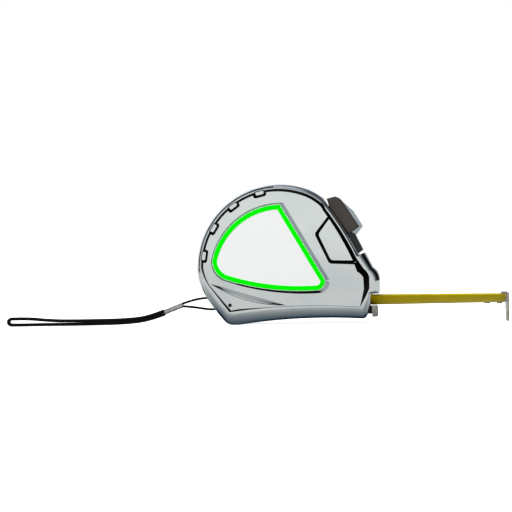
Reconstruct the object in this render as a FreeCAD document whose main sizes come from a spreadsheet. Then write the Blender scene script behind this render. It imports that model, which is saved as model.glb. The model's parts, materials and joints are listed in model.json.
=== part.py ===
import FreeCAD, Part
import Sketcher
import math
import os

# Pocket tape measure: a chrome-plated two-part case with a sprung reel, a thumb lock,
# a cambered steel blade with an end hook, a belt clip and a wrist strap.
# Millimetres. +X is the way the blade comes out, +Z is up, and -Y is the label side.
# The origin is the middle of the heel land that the case stands on. The hook's tip
# is on the same plane, so the tool stands on its heel and its hook.

Vector = FreeCAD.Vector
Y_AXIS = Vector(0, 1, 0)

SIZES = {
    # case, across
    "case_half_width": 16.5,      # middle to the flat side face
    "face_step": 1.2,             # the flat face stands this far above the rim's ledge
    "crown_depth": 4.0,           # the rim's rounding, measured across the case
    "wall": 2.0,
    "side_wall": 3.2,
    "crown_steps": 6,             # flats that make the rim's rounding
    # case, back and top arcs
    "crown_x": 18.8,
    "crown_z": 24.0,
    "back_radius": 34.7,
    "brow_radius": 23.2,
    "brow_join_angle": 71.6,
    "brow_end_angle": 49.3,
    "flank_radius": 22.9,
    "flank_turn": 32.8,
    "shin_radius": 91.0,
    "heel_radius": 5.4,
    "heel_land": 1.0,             # half of the flat that it stands on
    "base_radius": 255.0,         # the shallow arch under the case
    # case, nose: X is set back from nose_x
    "nose_x": 60.4,
    "nose_radius": 6.2,
    "nose_edge_radius": 0.65,
    "toe_radius": 2.4,
    "track_radius": 120.0,        # the lowered slope that the lock runs on
    "back_rim": 1.8,
    "brow_rim": 1.95,
    "back_bevel": 1.15,
    "brow_bevel": 1.35,
    # grip notches
    "notch_count": 4,
    "notch_first_angle": 104.2,
    "notch_pitch_angle": 22.2,
    "notch_width": 5.6,
    "notch_reach": 4.5,           # from the rim's outside towards the middle
    "notch_lip": 0.9,             # left standing between the notch and the rim's outside
    "notch_lean": 1.1,            # how far the walls lean in on their way down
    "notch_corner": 0.5,
    "notch_floor": 1.7,           # below the flat face
    "notch_dip": 0.4,             # the shallow dip right across the rim
    "notch_dip_half": 2.2,
    # details on the flat face
    "recess_depth": 0.8,
    "recess_arc_radius": 29.95,
    "recess_base_radius": 104.0,
    "recess_corner_radius": 9.0,
    "recess_nose_radius": 4.6,
    "pane_depth": 0.7,
    "pane_corner": 1.8,
    "pane_floor_share": 0.08,     # the channel's flat floor, as a share of its width
    "crease_depth": 0.6,
    "crease_radius": 55.0,
    "crease_facet": 1.25,
    "label_thick": 0.3,
    "border_thick": 0.12,
    "border_width": 2.0,
    # mouth
    "mouth_half_width": 10.2,
    "mouth_floor_z": 6.9,
    "mouth_roof_z": 12.3,
    "lip_front_x": 59.5,
    "lip_back_x": 57.1,
    "lip_base_z": 2.6,
    "lip_top_z": 7.05,
    "lip_half_width": 9.6,
    "lip_edge": 0.5,
    # reel
    "reel_x": 17.0,
    "reel_z": 34.2,
    "post_radius": 3.0,
    "post_bore_radius": 1.35,
    "post_bore_depth": 16.0,
    "run_clearance": 0.05,        # a shaft that turns in its bore
    "drum_radius": 15.0,
    "drum_wall": 1.8,
    "drum_web": 1.0,
    "flange_radius": 21.6,
    "coil_radius": 21.0,
    "coil_clearance": 0.2,
    "blade_width": 19.0,
    "flange_gap": 0.4,
    "spring_inner_radius": 8.0,
    "spring_clearance": 0.3,
    "boss_radius": 6.0,
    "boss_gap": 0.3,
    # screws
    "screw_radius": 1.3,
    "screw_head_radius": 2.4,
    "screw_head_height": 1.6,
    "screw_length": 19.0,
    "screw_boss_radius": 2.9,
    "screw_clearance": 0.1,
    "head_depth": 5.0,            # case screw heads lie this far inside the face
    "cross_width": 0.6,
    "cross_length": 2.8,
    "cross_depth": 0.8,
    # blade
    "blade_thick": 0.2,
    "blade_rear_x": 53.8,
    "blade_end_x": 112.8,
    "blade_rear_z": 7.4,
    "blade_end_z": 7.75,
    "camber_rear": 4.1,
    "camber_end": 3.5,
    "feed_gap": 0.12,
    "feed_end_x": 49.0,
    "feed_end_lift": 1.0,         # clears the hook's tongue when the blade is home
    # hook
    "hook_inner_x": 113.4,        # the tab's face that catches an edge
    "hook_thick": 0.9,
    "hook_cheek_x": 111.6,
    "tongue_rear_x": 103.2,
    "tongue_half_width": 5.5,
    "tongue_thick": 0.7,
    "tab_half_width": 9.6,
    "tab_tip_half_width": 7.0,
    "tab_top_z": 11.5,
    "tab_corner": 2.0,
    "hook_play": 0.5,
    "rivet_radius": 0.9,
    "rivet_head_radius": 1.2,
    "rivet_head_height": 0.4,
    "rivet_gap": 0.02,
    "rivet_rear_x": 105.45,
    "rivet_front_x": 110.6,
    # lock, in its own frame: along the slope, out of the slope
    "lock_x": 43.4,
    "lock_z": 43.4,
    "lock_angle": 54.0,
    "lock_travel": 7.0,
    "button_half_width": 10.0,
    "button_corner": 0.8,
    "track_half_width": 6.5,
    "slide_gap": 0.35,
    "stem_half_width": 2.2,
    "stem_rear": -4.0,
    "stem_front": 3.0,
    "plate_top": -3.3,
    "plate_base": -4.7,
    "plate_rear": -6.0,
    "plate_front": 5.0,
    "plate_half_width": 4.6,
    "leg_half_width": 3.0,
    "pad_half_width": 8.3,
    "pad_foot_width": 5.9,
    "pad_arch_width": 5.75,
    "pad_rear_x": 47.2,
    "pad_front_x": 50.8,
    "pad_foot_z": 15.05,
    "pad_arch_z": 15.8,
    "pad_flank_z": 16.45,
    "pad_top_z": 18.2,
    # strap
    "strap_pin_x": -2.0,
    "strap_pin_z": 8.4,
    "strap_pin_radius": 0.7,
    "cord_diameter": 1.05,
    "cord_fold_radius": 1.35,     # round the pin, which is thin
    "slot_half_width": 1.3,
    "slot_low_z": 4.4,
    "slot_high_z": 13.2,
    "ferrule_length": 8.4,
    "ferrule_half_height": 1.15,
    "ferrule_half_width": 2.35,
    "strap_thick": 1.3,
    "strap_width": 4.0,
    # belt clip, on the far side
    "clip_rear_x": 10.0,
    "clip_front_x": 24.0,
    "clip_thick": 0.8,
    "clip_gap": 4.7,
    "clip_low_z": 13.0,
    "clip_base_z": 28.0,
    "clip_top_z": 49.0,
    "clip_flare": 1.8,
    "clip_flare_z": 17.0,
    "clip_access_radius": 3.2,
    "clip_head_height": 1.3,
}

# Corners of the case in the XZ plane, as distances back from nose_x and heights.
NOSE_POINTS = {
    "toe": (-7.4, 2.0), "chin_low": (-5.0, 3.9), "chin_top": (-3.2, 12.3),
    "nose_high": (0.0, 17.9), "nose_back": (-2.8, 23.3), "ridge": (-6.1, 29.6),
    "track_end": (-8.4, 28.6), "track_start": (-20.8, 49.0),
    "rim_toe": (-8.3, 6.5), "rim_chin_low": (-7.5, 7.3), "rim_chin_top": (-4.3, 12.9),
    "rim_nose_low": (-3.0, 13.7), "rim_nose_edge": (-2.3, 14.4), "rim_nose_high": (-2.3, 17.7),
    "rim_nose_back": (-4.5, 21.9), "rim_ridge": (-8.5, 27.6), "rim_track_end": (-9.35, 28.1),
    "rim_track_start": (-21.7, 48.4),
    "foot_toe": (-8.2, 6.85), "foot_jaw": (-4.2, 14.6), "foot_nose": (-4.2, 19.4),
    "foot_dip": (-6.5, 22.9), "foot_ridge": (-9.5, 27.5), "foot_track": (-21.95, 48.0),
    "edge_toe": (-8.25, 7.0), "edge_jaw": (-6.5, 14.6), "edge_nose": (-6.7, 19.3),
    "edge_dip": (-9.2, 21.7), "edge_ridge": (-10.6, 25.6), "edge_track": (-22.9, 47.2),
}
# Corners at the heel, from the origin.
HEEL_POINTS = {
    "heel_back": (-5.0, 1.9),
    "rim_shin": (-7.7, 12.6), "rim_heel_back": (-2.9, 5.3), "rim_heel_low": (-1.9, 4.8),
    "rim_heel_front": (0.8, 4.9),
    "foot_shin": (-10.7, 16.4), "foot_heel": (-2.35, 5.5),
    "edge_shin": (-10.15, 16.3), "edge_heel": (-2.15, 5.75),
}
# The label's recess, its floor and the printed border, going round from the top corner.
FACE_POINTS = {
    "recess_top": (20.8, 50.9), "recess_back": (-9.7, 27.0), "recess_low": (-4.6, 18.7),
    "recess_base": (35.6, 13.0), "recess_nose": (39.6, 18.6),
    "floor_top": (19.5, 50.3), "floor_back": (-9.4, 27.0), "floor_low": (-4.3, 19.1),
    "floor_base": (35.0, 14.1), "floor_nose": (38.1, 18.3),
    "pane_out_top": (40.6, 46.5), "pane_out_back": (33.7, 37.7), "pane_out_low": (39.7, 25.2),
    "pane_out_front": (53.0, 24.6),
    "pane_in_top": (41.6, 46.1), "pane_in_back": (35.3, 37.5), "pane_in_low": (40.4, 26.6),
    "pane_in_front": (53.6, 26.3),
    "crease_back": (-9.9, 17.4), "crease_front": (21.4, 8.1),
    "crease_floor_back": (-8.8, 16.75), "crease_floor_front": (18.6, 8.4),
}
# Pieces of the lock, in the lock's own frame.
LOCK_POINTS = {
    "button_low_rear": (-6.9, 0.45), "button_rear": (-10.0, 1.5), "button_brow": (-8.6, 5.0),
    "button_top_rear": (-7.0, 5.9), "button_top": (-5.0, 6.05), "button_top_front": (7.4, 5.4),
    "button_low_front": (7.4, 0.15),
    "cap_rear": (-5.0, 6.1), "cap_top": (0.4, 7.2), "cap_corner": (8.0, 6.6),
    "cap_low": (9.2, 2.5), "cap_inner_low": (7.5, 1.5), "cap_inner": (7.5, 5.45),
    "track_high_rear": (-7.2, 2.25), "track_high_mid": (8.9, 2.15), "track_high_front": (16.2, 0.9),
    "leg_top_rear": (1.0, -4.6), "leg_top_front": (4.4, -4.6), "leg_elbow": (14.0, -6.2),
    "leg_tip_front": (24.58, -8.96), "leg_tip_rear": (22.8, -11.39), "leg_elbow_rear": (12.6, -7.9),
}
SCREW_PLACES = {"heel_screw": (-4.5, 15.6), "nose_screw": (40.6, 17.6)}

doc = FreeCAD.newDocument("tape_measure")
sheet = doc.addObject("Spreadsheet::Sheet", "Sizes")
cells = dict(SIZES)
for table in (NOSE_POINTS, HEEL_POINTS, FACE_POINTS, LOCK_POINTS, SCREW_PLACES):
    for word, (along, up) in table.items():
        cells[word + "_along"] = along
        cells[word + "_up"] = up
for row, (word, number) in enumerate(cells.items(), start=1):
    sheet.set(f"A{row}", word)
    sheet.set(f"B{row}", str(number))
    sheet.setAlias(f"B{row}", word)
doc.recompute()


class Size:
    """A number together with the sheet formula that it comes from."""

    def __init__(self, number, formula):
        self.number = float(number)
        self.formula = formula

    def __add__(self, other):
        other = as_size(other)
        return Size(self.number + other.number, f"({self.formula} + {other.formula})")

    def __sub__(self, other):
        other = as_size(other)
        return Size(self.number - other.number, f"({self.formula} - {other.formula})")

    def __mul__(self, other):
        other = as_size(other)
        return Size(self.number * other.number, f"({self.formula} * {other.formula})")

    def __neg__(self):
        return Size(-self.number, f"(0 - {self.formula})")


def as_size(value):
    return value if isinstance(value, Size) else Size(value, repr(float(value)))


def size(word):
    """A named size of the sheet."""
    return Size(sheet.get(word), "Sizes." + word)


def number(word):
    return float(sheet.get(word))


def place(word):
    """A named point of the sheet, as two sizes."""
    return size(word + "_along"), size(word + "_up")


def nose_place(word):
    along, up = place(word)
    return size("nose_x") + along, up


def plain(point):
    return point[0].number, point[1].number


HALF = as_size(0.5)
ZERO = as_size(0.0)


# ---------------------------------------------------------------- bodies and sketches

def new_body(label, x=ZERO, y=ZERO, z=ZERO, turn=None):
    """An empty body whose place follows the sheet; turn is an angle about Y."""
    body = doc.addObject("PartDesign::Body", label)
    body.Label = label
    for letter, value in (("x", x), ("y", y), ("z", z)):
        body.setExpression("Placement.Base." + letter, value.formula)
    if turn is not None:
        body.setExpression("Placement.Rotation.Axis.x", "0")
        body.setExpression("Placement.Rotation.Axis.y", "1")
        body.setExpression("Placement.Rotation.Axis.z", "0")
        body.setExpression("Placement.Rotation.Angle", turn.formula)
    return body


def new_sketch(body, plane, shift=ZERO):
    """An empty sketch on one of the body's own planes, shifted along the plane's normal."""
    drawing = body.newObject("Sketcher::SketchObject", body.Label + "_sketch")
    planes = [item for item in body.Origin.OriginFeatures if item.Role == plane]
    drawing.AttachmentSupport = [(planes[0], "")]
    drawing.MapMode = "FlatFace"
    drawing.setExpression("AttachmentOffset.Base.z", shift.formula)
    return drawing


def pin_point(drawing, element, end, corner):
    """Hold one end of an element at a distance from the sketch's origin."""
    for kind, value in (("DistanceX", corner[0]), ("DistanceY", corner[1])):
        held = drawing.addConstraint(Sketcher.Constraint(kind, -1, 1, element, end, value.number))
        drawing.setExpression(f"Constraints[{held}]", value.formula)


def draw_outline(drawing, corners):
    """A closed outline. A corner is (a, b) or (a, b, radius): then the stretch after it is an arc."""
    first = drawing.GeometryCount
    count = len(corners)
    ends = []
    for index, corner in enumerate(corners):
        start = Vector(corner[0].number, corner[1].number, 0)
        after = corners[(index + 1) % count]
        finish = Vector(after[0].number, after[1].number, 0)
        if len(corner) == 2:
            drawing.addGeometry(Part.LineSegment(start, finish), False)
            ends.append((1, 2))
            continue
        middle = bulge((start.x, start.y), (finish.x, finish.y), corner[2].number)
        forward = corner[2].number > 0
        ring = (start, finish) if forward else (finish, start)
        drawing.addGeometry(Part.Arc(ring[0], Vector(middle[0], middle[1], 0), ring[1]), False)
        ends.append((1, 2) if forward else (2, 1))
        held = drawing.addConstraint(
            Sketcher.Constraint("Radius", first + index, abs(corner[2].number)))
        drawing.setExpression(f"Constraints[{held}]", f"abs({corner[2].formula})")
    for index, corner in enumerate(corners):
        after = (index + 1) % count
        drawing.addConstraint(Sketcher.Constraint(
            "Coincident", first + index, ends[index][1], first + after, ends[after][0]))
        pin_point(drawing, first + index, ends[index][0], corner)


def draw_circle(drawing, centre, radius):
    element = drawing.addGeometry(
        Part.Circle(Vector(centre[0].number, centre[1].number, 0), Vector(0, 0, 1), radius.number))
    held = drawing.addConstraint(Sketcher.Constraint("Radius", element, radius.number))
    drawing.setExpression(f"Constraints[{held}]", radius.formula)
    pin_point(drawing, element, 3, centre)


def pad(body, drawing, length):
    """A pad that reaches as far on both sides of its sketch."""
    feature = body.newObject("PartDesign::Pad", body.Label + "_pad")
    feature.Profile = drawing
    feature.SideType = "Symmetric"
    feature.setExpression("Length", length.formula)
    return feature


def pocket(body, drawing, length, symmetric=True):
    feature = body.newObject("PartDesign::Pocket", body.Label + "_pocket")
    feature.Profile = drawing
    feature.SideType = "Symmetric" if symmetric else "One side"
    feature.setExpression("Length", length.formula)
    return feature


def revolve(body, corners):
    """A solid turned about the body's own Y axis; corners are (radius, height)."""
    drawing = new_sketch(body, "XY_Plane")
    draw_outline(drawing, corners)
    feature = body.newObject("PartDesign::Revolution", body.Label + "_turned")
    feature.Profile = drawing
    feature.ReferenceAxis = (drawing, ["V_Axis"])
    feature.Angle = 360
    return feature


def rounded(body, feature, radius, chosen):
    """Round the edges whose middle passes the test."""
    doc.recompute()
    names = []
    for index, edge in enumerate(feature.Shape.Edges, start=1):
        if chosen(edge):
            names.append(f"Edge{index}")
    fillet = body.newObject("PartDesign::Fillet", body.Label + "_round")
    fillet.Base = (feature, names)
    fillet.setExpression("Radius", radius.formula)
    return fillet


def rectangle(low, high):
    return [(low[0], low[1]), (high[0], low[1]), (high[0], high[1]), (low[0], high[1])]


# ---------------------------------------------------------------- outlines for the free shapes

def bulge(start, finish, radius):
    """The middle of a short arc, to the right of the way from start to finish if radius > 0."""
    along = (finish[0] - start[0], finish[1] - start[1])
    chord = math.hypot(*along)
    reach = abs(radius) - math.sqrt(max(radius * radius - chord * chord / 4, 0.0))
    reach = math.copysign(reach, radius) / chord
    return ((start[0] + finish[0]) / 2 + along[1] * reach,
            (start[1] + finish[1]) / 2 - along[0] * reach)


def spans(corners):
    """Each stretch of an outline as (start, middle); corners are (x, z, radius), 0 for straight."""
    result = []
    for index, (x, z, radius) in enumerate(corners):
        after = corners[(index + 1) % len(corners)]
        middle = bulge((x, z), after[:2], radius) if radius else None
        result.append(((x, z), middle))
    return result


def between(outer, inner, share):
    """An outline part of the way from outer to inner."""
    def mix(first, second):
        if first is None:
            return None
        return tuple(a + (b - a) * share for a, b in zip(first, second))
    return [(mix(a[0], b[0]), mix(a[1], b[1])) for a, b in zip(outer, inner)]


def wire(outline, y):
    edges = []
    for index, (start, middle) in enumerate(outline):
        finish = outline[(index + 1) % len(outline)][0]
        first, last = Vector(start[0], y, start[1]), Vector(finish[0], y, finish[1])
        if middle is None:
            edges.append(Part.LineSegment(first, last).toShape())
        else:
            edges.append(Part.Arc(first, Vector(middle[0], y, middle[1]), last).toShape())
    return Part.Wire(edges)


def prism(corners, low_y, high_y):
    """An outline drawn across the case from low_y to high_y."""
    return Part.Face(wire(spans(corners), low_y)).extrude(Vector(0, high_y - low_y, 0))


def block(low, high):
    return Part.makeBox(high[0] - low[0], high[1] - low[1], high[2] - low[2], Vector(*low))


def across(x, z, radius, low_y, high_y):
    """A round bar or bore that runs across the case."""
    return Part.makeCylinder(radius, high_y - low_y, Vector(x, low_y, z), Y_AXIS)


def polar(centre, radius, angle):
    turn = math.radians(angle)
    return centre[0] + radius * math.cos(turn), centre[1] + radius * math.sin(turn)


def crown_centre():
    return number("crown_x"), number("crown_z")


def brow_centre():
    reach = number("back_radius") - number("brow_radius")
    return polar(crown_centre(), reach, number("brow_join_angle"))


def corner(point, radius=0.0):
    return (*plain(point), radius)


def case_outline():
    """The case's outside, going round from the heel along the base to the nose and over the top."""
    land, nose = number("heel_land"), number("nose_x")
    roof, edge = number("mouth_roof_z"), number("nose_edge_radius")
    back, flank = number("back_radius"), number("flank_radius")
    left = number("crown_x") - back
    shin = polar((left + flank, number("crown_z")), flank, 180 + number("flank_turn"))
    return [
        (land, 0.0, -number("base_radius")),
        corner(nose_place("toe"), number("toe_radius")),
        corner(nose_place("chin_low")),
        corner(nose_place("chin_top")),
        (nose - edge, roof, edge),
        (nose, roof + edge, 0.0),
        corner(nose_place("nose_high"), number("nose_radius")),
        corner(nose_place("nose_back")),
        corner(nose_place("ridge")),
        corner(nose_place("track_end"), number("track_radius")),
        corner(nose_place("track_start")),
        (*polar(brow_centre(), number("brow_radius"), number("brow_end_angle")),
         number("brow_radius")),
        (*polar(crown_centre(), back, number("brow_join_angle")), back),
        (*polar(crown_centre(), back, number("notch_first_angle")), back),
        (left, number("crown_z"), flank),
        (*shin, number("shin_radius")),
        corner(place("heel_back"), number("heel_radius")),
        (-land, 0.0, 0.0),
    ]


def rim_outline():
    """Where the rim's rounding ends, at the ledge."""
    back = number("back_radius") - number("back_rim")
    brow = number("brow_radius") - number("brow_rim")
    join = polar(brow_centre(), brow, number("brow_join_angle"))
    return [
        corner(place("rim_heel_front"), -number("base_radius")),
        corner(nose_place("rim_toe"), number("toe_radius")),
        corner(nose_place("rim_chin_low")),
        corner(nose_place("rim_chin_top")),
        corner(nose_place("rim_nose_low"), number("nose_edge_radius") * 2),
        corner(nose_place("rim_nose_edge")),
        corner(nose_place("rim_nose_high"), number("nose_radius")),
        corner(nose_place("rim_nose_back")),
        corner(nose_place("rim_ridge")),
        corner(nose_place("rim_track_end"), number("track_radius")),
        corner(nose_place("rim_track_start")),
        (*polar(brow_centre(), brow, number("brow_end_angle")), brow),
        (*join, back),
        (*polar(crown_centre(), back, number("notch_first_angle")), back),
        (number("crown_x") - back, number("crown_z"), number("flank_radius")),
        corner(place("rim_shin"), number("shin_radius")),
        corner(place("rim_heel_back"), number("heel_radius")),
        corner(place("rim_heel_low")),
    ]


def face_outline(kind, bevel_share):
    """The flat face's outline: kind is "foot" at the ledge and "edge" at the face."""
    back_in = number("back_rim") + number("back_bevel") * bevel_share
    brow_in = number("brow_rim") + number("brow_bevel") * bevel_share
    back, brow = number("back_radius") - back_in, number("brow_radius") - brow_in
    return [
        corner(place(kind + "_heel"), -number("base_radius")),
        corner(nose_place(kind + "_toe"), number("shin_radius")),
        corner(nose_place(kind + "_jaw")),
        corner(nose_place(kind + "_nose"), number("nose_radius")),
        corner(nose_place(kind + "_dip")),
        corner(nose_place(kind + "_ridge"), number("track_radius")),
        corner(nose_place(kind + "_track"), number("nose_radius")),
        (*polar(brow_centre(), brow, number("brow_end_angle")), brow),
        (*polar(brow_centre(), brow, number("brow_join_angle")), back),
        (*polar(crown_centre(), back, number("notch_first_angle")), back),
        (number("crown_x") - back, number("crown_z"), number("flank_radius")),
        corner(place(kind + "_shin")),
    ]


# ---------------------------------------------------------------- case shells

def ledge_y():
    return number("case_half_width") - number("face_step")


def cavity_y():
    return number("case_half_width") - number("side_wall")


def shell_block(side):
    """One half of the case from outside: the body, its rounded rim and the raised flat face."""
    outer, rim = spans(case_outline()), spans(rim_outline())
    start = ledge_y() - number("crown_depth")
    sections = [wire(outer, 0.0)]
    steps = int(number("crown_steps"))
    for step in range(steps + 1):
        turn = math.radians(90.0 * step / steps)
        level = start + number("crown_depth") * math.sin(turn)
        sections.append(wire(between(outer, rim, 1 - math.cos(turn)), side * level))
    body = Part.makeLoft(sections, True, True)
    foot, edge = spans(face_outline("foot", 0.1)), spans(face_outline("edge", 1.0))
    sunk = ledge_y() - number("recess_depth")
    below = between(foot, edge, (sunk - ledge_y()) / number("face_step"))
    face = Part.makeLoft(
        [wire(below, side * sunk), wire(edge, side * number("case_half_width"))], True, True)
    return body.fuse(face)


def notch_cutter(side):
    """The four finger notches: a pocket with leaning walls, and a dip right across the rim."""
    centre, outside = crown_centre(), number("back_radius")
    top, deep = number("case_half_width"), number("notch_floor")
    outlines = []
    for inset in (0.0, number("notch_lean")):
        radius = number("notch_corner") + (number("notch_lean") - inset) / 2
        half = number("notch_width") / 2 - inset
        inner = outside - number("notch_reach") + inset
        far = outside - number("notch_lip") - inset
        outlines.append(spans([
            (inner + radius, -half, 0.0), (far, -half, 0.0), (far, half, 0.0),
            (inner + radius, half, radius), (inner, half - radius, 0.0),
            (inner, radius - half, radius)]))
    above = between(outlines[0], outlines[1], -0.5)
    dip_half, high = number("notch_dip_half"), top + number("wall")
    far = outside + number("wall")
    pieces = []
    for index in range(int(number("notch_count"))):
        angle = number("notch_first_angle") + index * number("notch_pitch_angle")
        cutter = Part.makeLoft([
            wire(outlines[1], side * (top - deep)), wire(outlines[0], side * top),
            wire(above, side * (top + deep / 2))], True, True)
        dip = block((outside - number("notch_dip"), -high, -dip_half), (far, high, dip_half))
        for piece in (cutter, dip):
            piece.rotate(Vector(0, 0, 0), Y_AXIS, -angle)
            piece.translate(Vector(centre[0], 0, centre[1]))
            pieces.append(piece)
    return pieces


def label_recess(side):
    """The sunk field that the label lies in, with a wide slope along its nose side."""
    arc, base = number("recess_arc_radius"), number("recess_base_radius")
    turn, nose = number("recess_corner_radius"), number("recess_nose_radius")
    radii = {"top": arc, "back": turn, "low": base, "base": nose, "nose": 0.0}
    rims = []
    for kind in ("recess", "floor"):
        rims.append(spans([corner(place(f"{kind}_{word}"), radius)
                           for word, radius in radii.items()]))
    top = number("case_half_width")
    deep = top - number("recess_depth")
    above = between(rims[0], rims[1], -0.5)
    return Part.makeLoft([wire(rims[1], side * deep), wire(rims[0], side * top),
                          wire(above, side * (top + number("recess_depth") / 2))], True, True)


def soft_wire(first, second, share, radius, y):
    """A straight-sided outline between two others, with its corners rounded."""
    corners = [(a[0] + (b[0] - a[0]) * share, a[1] + (b[1] - a[1]) * share, 0.0)
               for a, b in zip(first, second)]
    small = Part.Face(wire(spans(corners), 0.0)).makeOffset2D(-radius, 2, False, False, True)
    soft = small.makeOffset2D(radius, 0, False, False, True).OuterWire
    soft.translate(Vector(0, y, 0))
    return soft


def pane_groove(side):
    """The V-shaped channel round three sides of the finger pane beside the lock."""
    top, deep, radius = number("case_half_width"), number("pane_depth"), number("pane_corner")
    words = ("top", "back", "low", "front")
    outer, inner = ([plain(place(f"{kind}_{word}")) for word in words]
                    for kind in ("pane_out", "pane_in"))
    half = number("pane_floor_share") / 2
    cones = []
    for rim, floor in ((0.0, 0.5 - half), (1.0, 0.5 + half)):
        above = rim + (rim - floor) / 2
        levels = ((floor, top - deep), (rim, top), (above, top + deep / 2))
        wires = [soft_wire(outer, inner, share, radius, side * y) for share, y in levels]
        cones.append(Part.makeLoft(wires, True, True))
    return cones[0].cut(cones[1])


def crease(side):
    """The tapered crease above the heel: a wide slanting facet with a steep lower edge."""
    top, low_arc = number("case_half_width"), number("crease_radius")
    flat = number("base_radius") * 10
    upper = spans([corner(place("crease_back"), low_arc), corner(place("crease_front"), flat)])
    floor = spans([corner(place("crease_floor_back"), low_arc),
                   corner(place("crease_floor_front"), -low_arc * number("crease_facet"))])
    raised = between(upper, floor, -0.5)
    deep = number("crease_depth")
    return Part.makeLoft([wire(floor, side * (top - deep)), wire(upper, side * top),
                          wire(raised, side * (top + deep / 2))], True, True)


def lock_frame(shape):
    """Move a shape from the lock's own frame to its place on the slope."""
    shape.rotate(Vector(0, 0, 0), Y_AXIS, number("lock_angle"))
    shape.translate(Vector(number("lock_x"), 0, number("lock_z")))
    return shape


def shell(side):
    """One case shell: side is -1 for the label side and 1 for the clip side."""
    half, inside = number("case_half_width"), cavity_y()
    solid = shell_block(side)
    offset = Part.Face(wire(spans(case_outline()), 0.0)).makeOffset2D(
        -number("wall"), 2, False, False, True)
    solid = solid.cut(offset.extrude(Vector(0, side * inside, 0)))
    reel = (number("reel_x"), number("reel_z"))
    reel_end = reel_half_length() + number("boss_gap")
    solid = solid.fuse(across(*reel, number("boss_radius"), *ordered(side * reel_end, side * inside)))
    for word in SCREW_PLACES:
        x, z = plain(place(word))
        solid = solid.fuse(across(x, z, number("screw_boss_radius"), *ordered(0.0, side * inside)))
    cutters = notch_cutter(side) + [pane_groove(side), crease(side)]
    room = number("screw_clearance")
    shank, head = number("screw_radius") + room, number("screw_head_radius") + room
    under_head = half - number("head_depth")
    post = number("post_radius") + number("run_clearance")
    cutters.append(across(*reel, post, *ordered(side * (reel_end - 1), side * inside)))
    for word in SCREW_PLACES:
        x, z = plain(place(word))
        if side > 0:
            cutters.append(across(x, z, shank, -1.0, half))
            cutters.append(across(x, z, head, under_head, half + 1))
        else:
            cutters.append(across(x, z, shank, under_head - number("screw_length") - 1, 1.0))
    if side > 0:
        cutters.append(across(*reel, shank, inside - 1, half + 1))
    else:
        cutters.append(label_recess(side))
    pin = number("strap_pin_radius") + number("run_clearance")
    cutters.append(across(number("strap_pin_x"), number("strap_pin_z"), pin,
                          *ordered(side * (inside - 1), side * (half + 1))))
    wide = number("mouth_half_width")
    chin = nose_place("chin_low")[0].number
    cutters.append(block((chin - number("wall") * 1.5, -wide, number("mouth_floor_z")),
                         (number("nose_x") + 1, wide, number("mouth_roof_z"))))
    slot = number("slot_half_width")
    cutters.append(block((number("crown_x") - number("back_radius") - 1, -slot,
                          number("slot_low_z")),
                         (number("strap_pin_x") - number("strap_pin_radius"), slot,
                          number("slot_high_z"))))
    stem, gap = number("stem_half_width") + number("slide_gap"), number("slide_gap")
    channel = block((number("stem_rear") - gap, -stem, number("plate_top")),
                    (number("stem_front") + number("lock_travel") + gap, stem, number("wall")))
    cutters.append(lock_frame(channel))
    for cutter in cutters:
        solid = solid.cut(cutter)
    return solid.removeSplitter()


def ordered(first, second):
    return (first, second) if first < second else (second, first)


def reel_half_length():
    return number("blade_width") / 2 + number("flange_gap") + number("drum_web")


def free_feature(label, shape, spot=None):
    """A piece whose shape is worked out here from the sheet's sizes."""
    feature = doc.addObject("Part::Feature", label)
    feature.Label = label
    feature.Shape = shape
    feature.Placement = spot or FreeCAD.Placement()
    return feature


def make_shells():
    return [free_feature("right_shell", shell(-1)), free_feature("left_shell", shell(1))]


# ---------------------------------------------------------------- label

def label_outline(inset):
    """The label's edge: the recess floor's outline, drawn in by inset."""
    radii = {"top": number("recess_arc_radius"), "back": number("recess_corner_radius"),
             "low": number("recess_base_radius"), "base": number("recess_nose_radius"),
             "nose": 0.0}
    corners = [corner(place(f"floor_{word}"), radius) for word, radius in radii.items()]
    face = Part.Face(wire(spans(corners), 0.0))
    return face.makeOffset2D(-inset, 2, False, False, True)


def make_label():
    edge_gap = number("feed_gap")
    floor = number("case_half_width") - number("recess_depth")
    sheet_of_label = label_outline(edge_gap)
    sheet_of_label.translate(Vector(0, -floor, 0))
    panel = sheet_of_label.extrude(Vector(0, -number("label_thick"), 0))
    inner, outer = label_outline(number("border_width") + edge_gap), label_outline(edge_gap * 2)
    ring = outer.cut(inner)
    ring.translate(Vector(0, -floor - number("label_thick"), 0))
    border = ring.extrude(Vector(0, -number("border_thick"), 0))
    return [free_feature("label", panel), free_feature("label_border", border)]


# ---------------------------------------------------------------- reel

def reel_body(label):
    return new_body(label, size("reel_x"), ZERO, size("reel_z"))


def tube_profile(inner, outer, low, high):
    return [(inner, low), (outer, low), (outer, high), (inner, high)]


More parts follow.
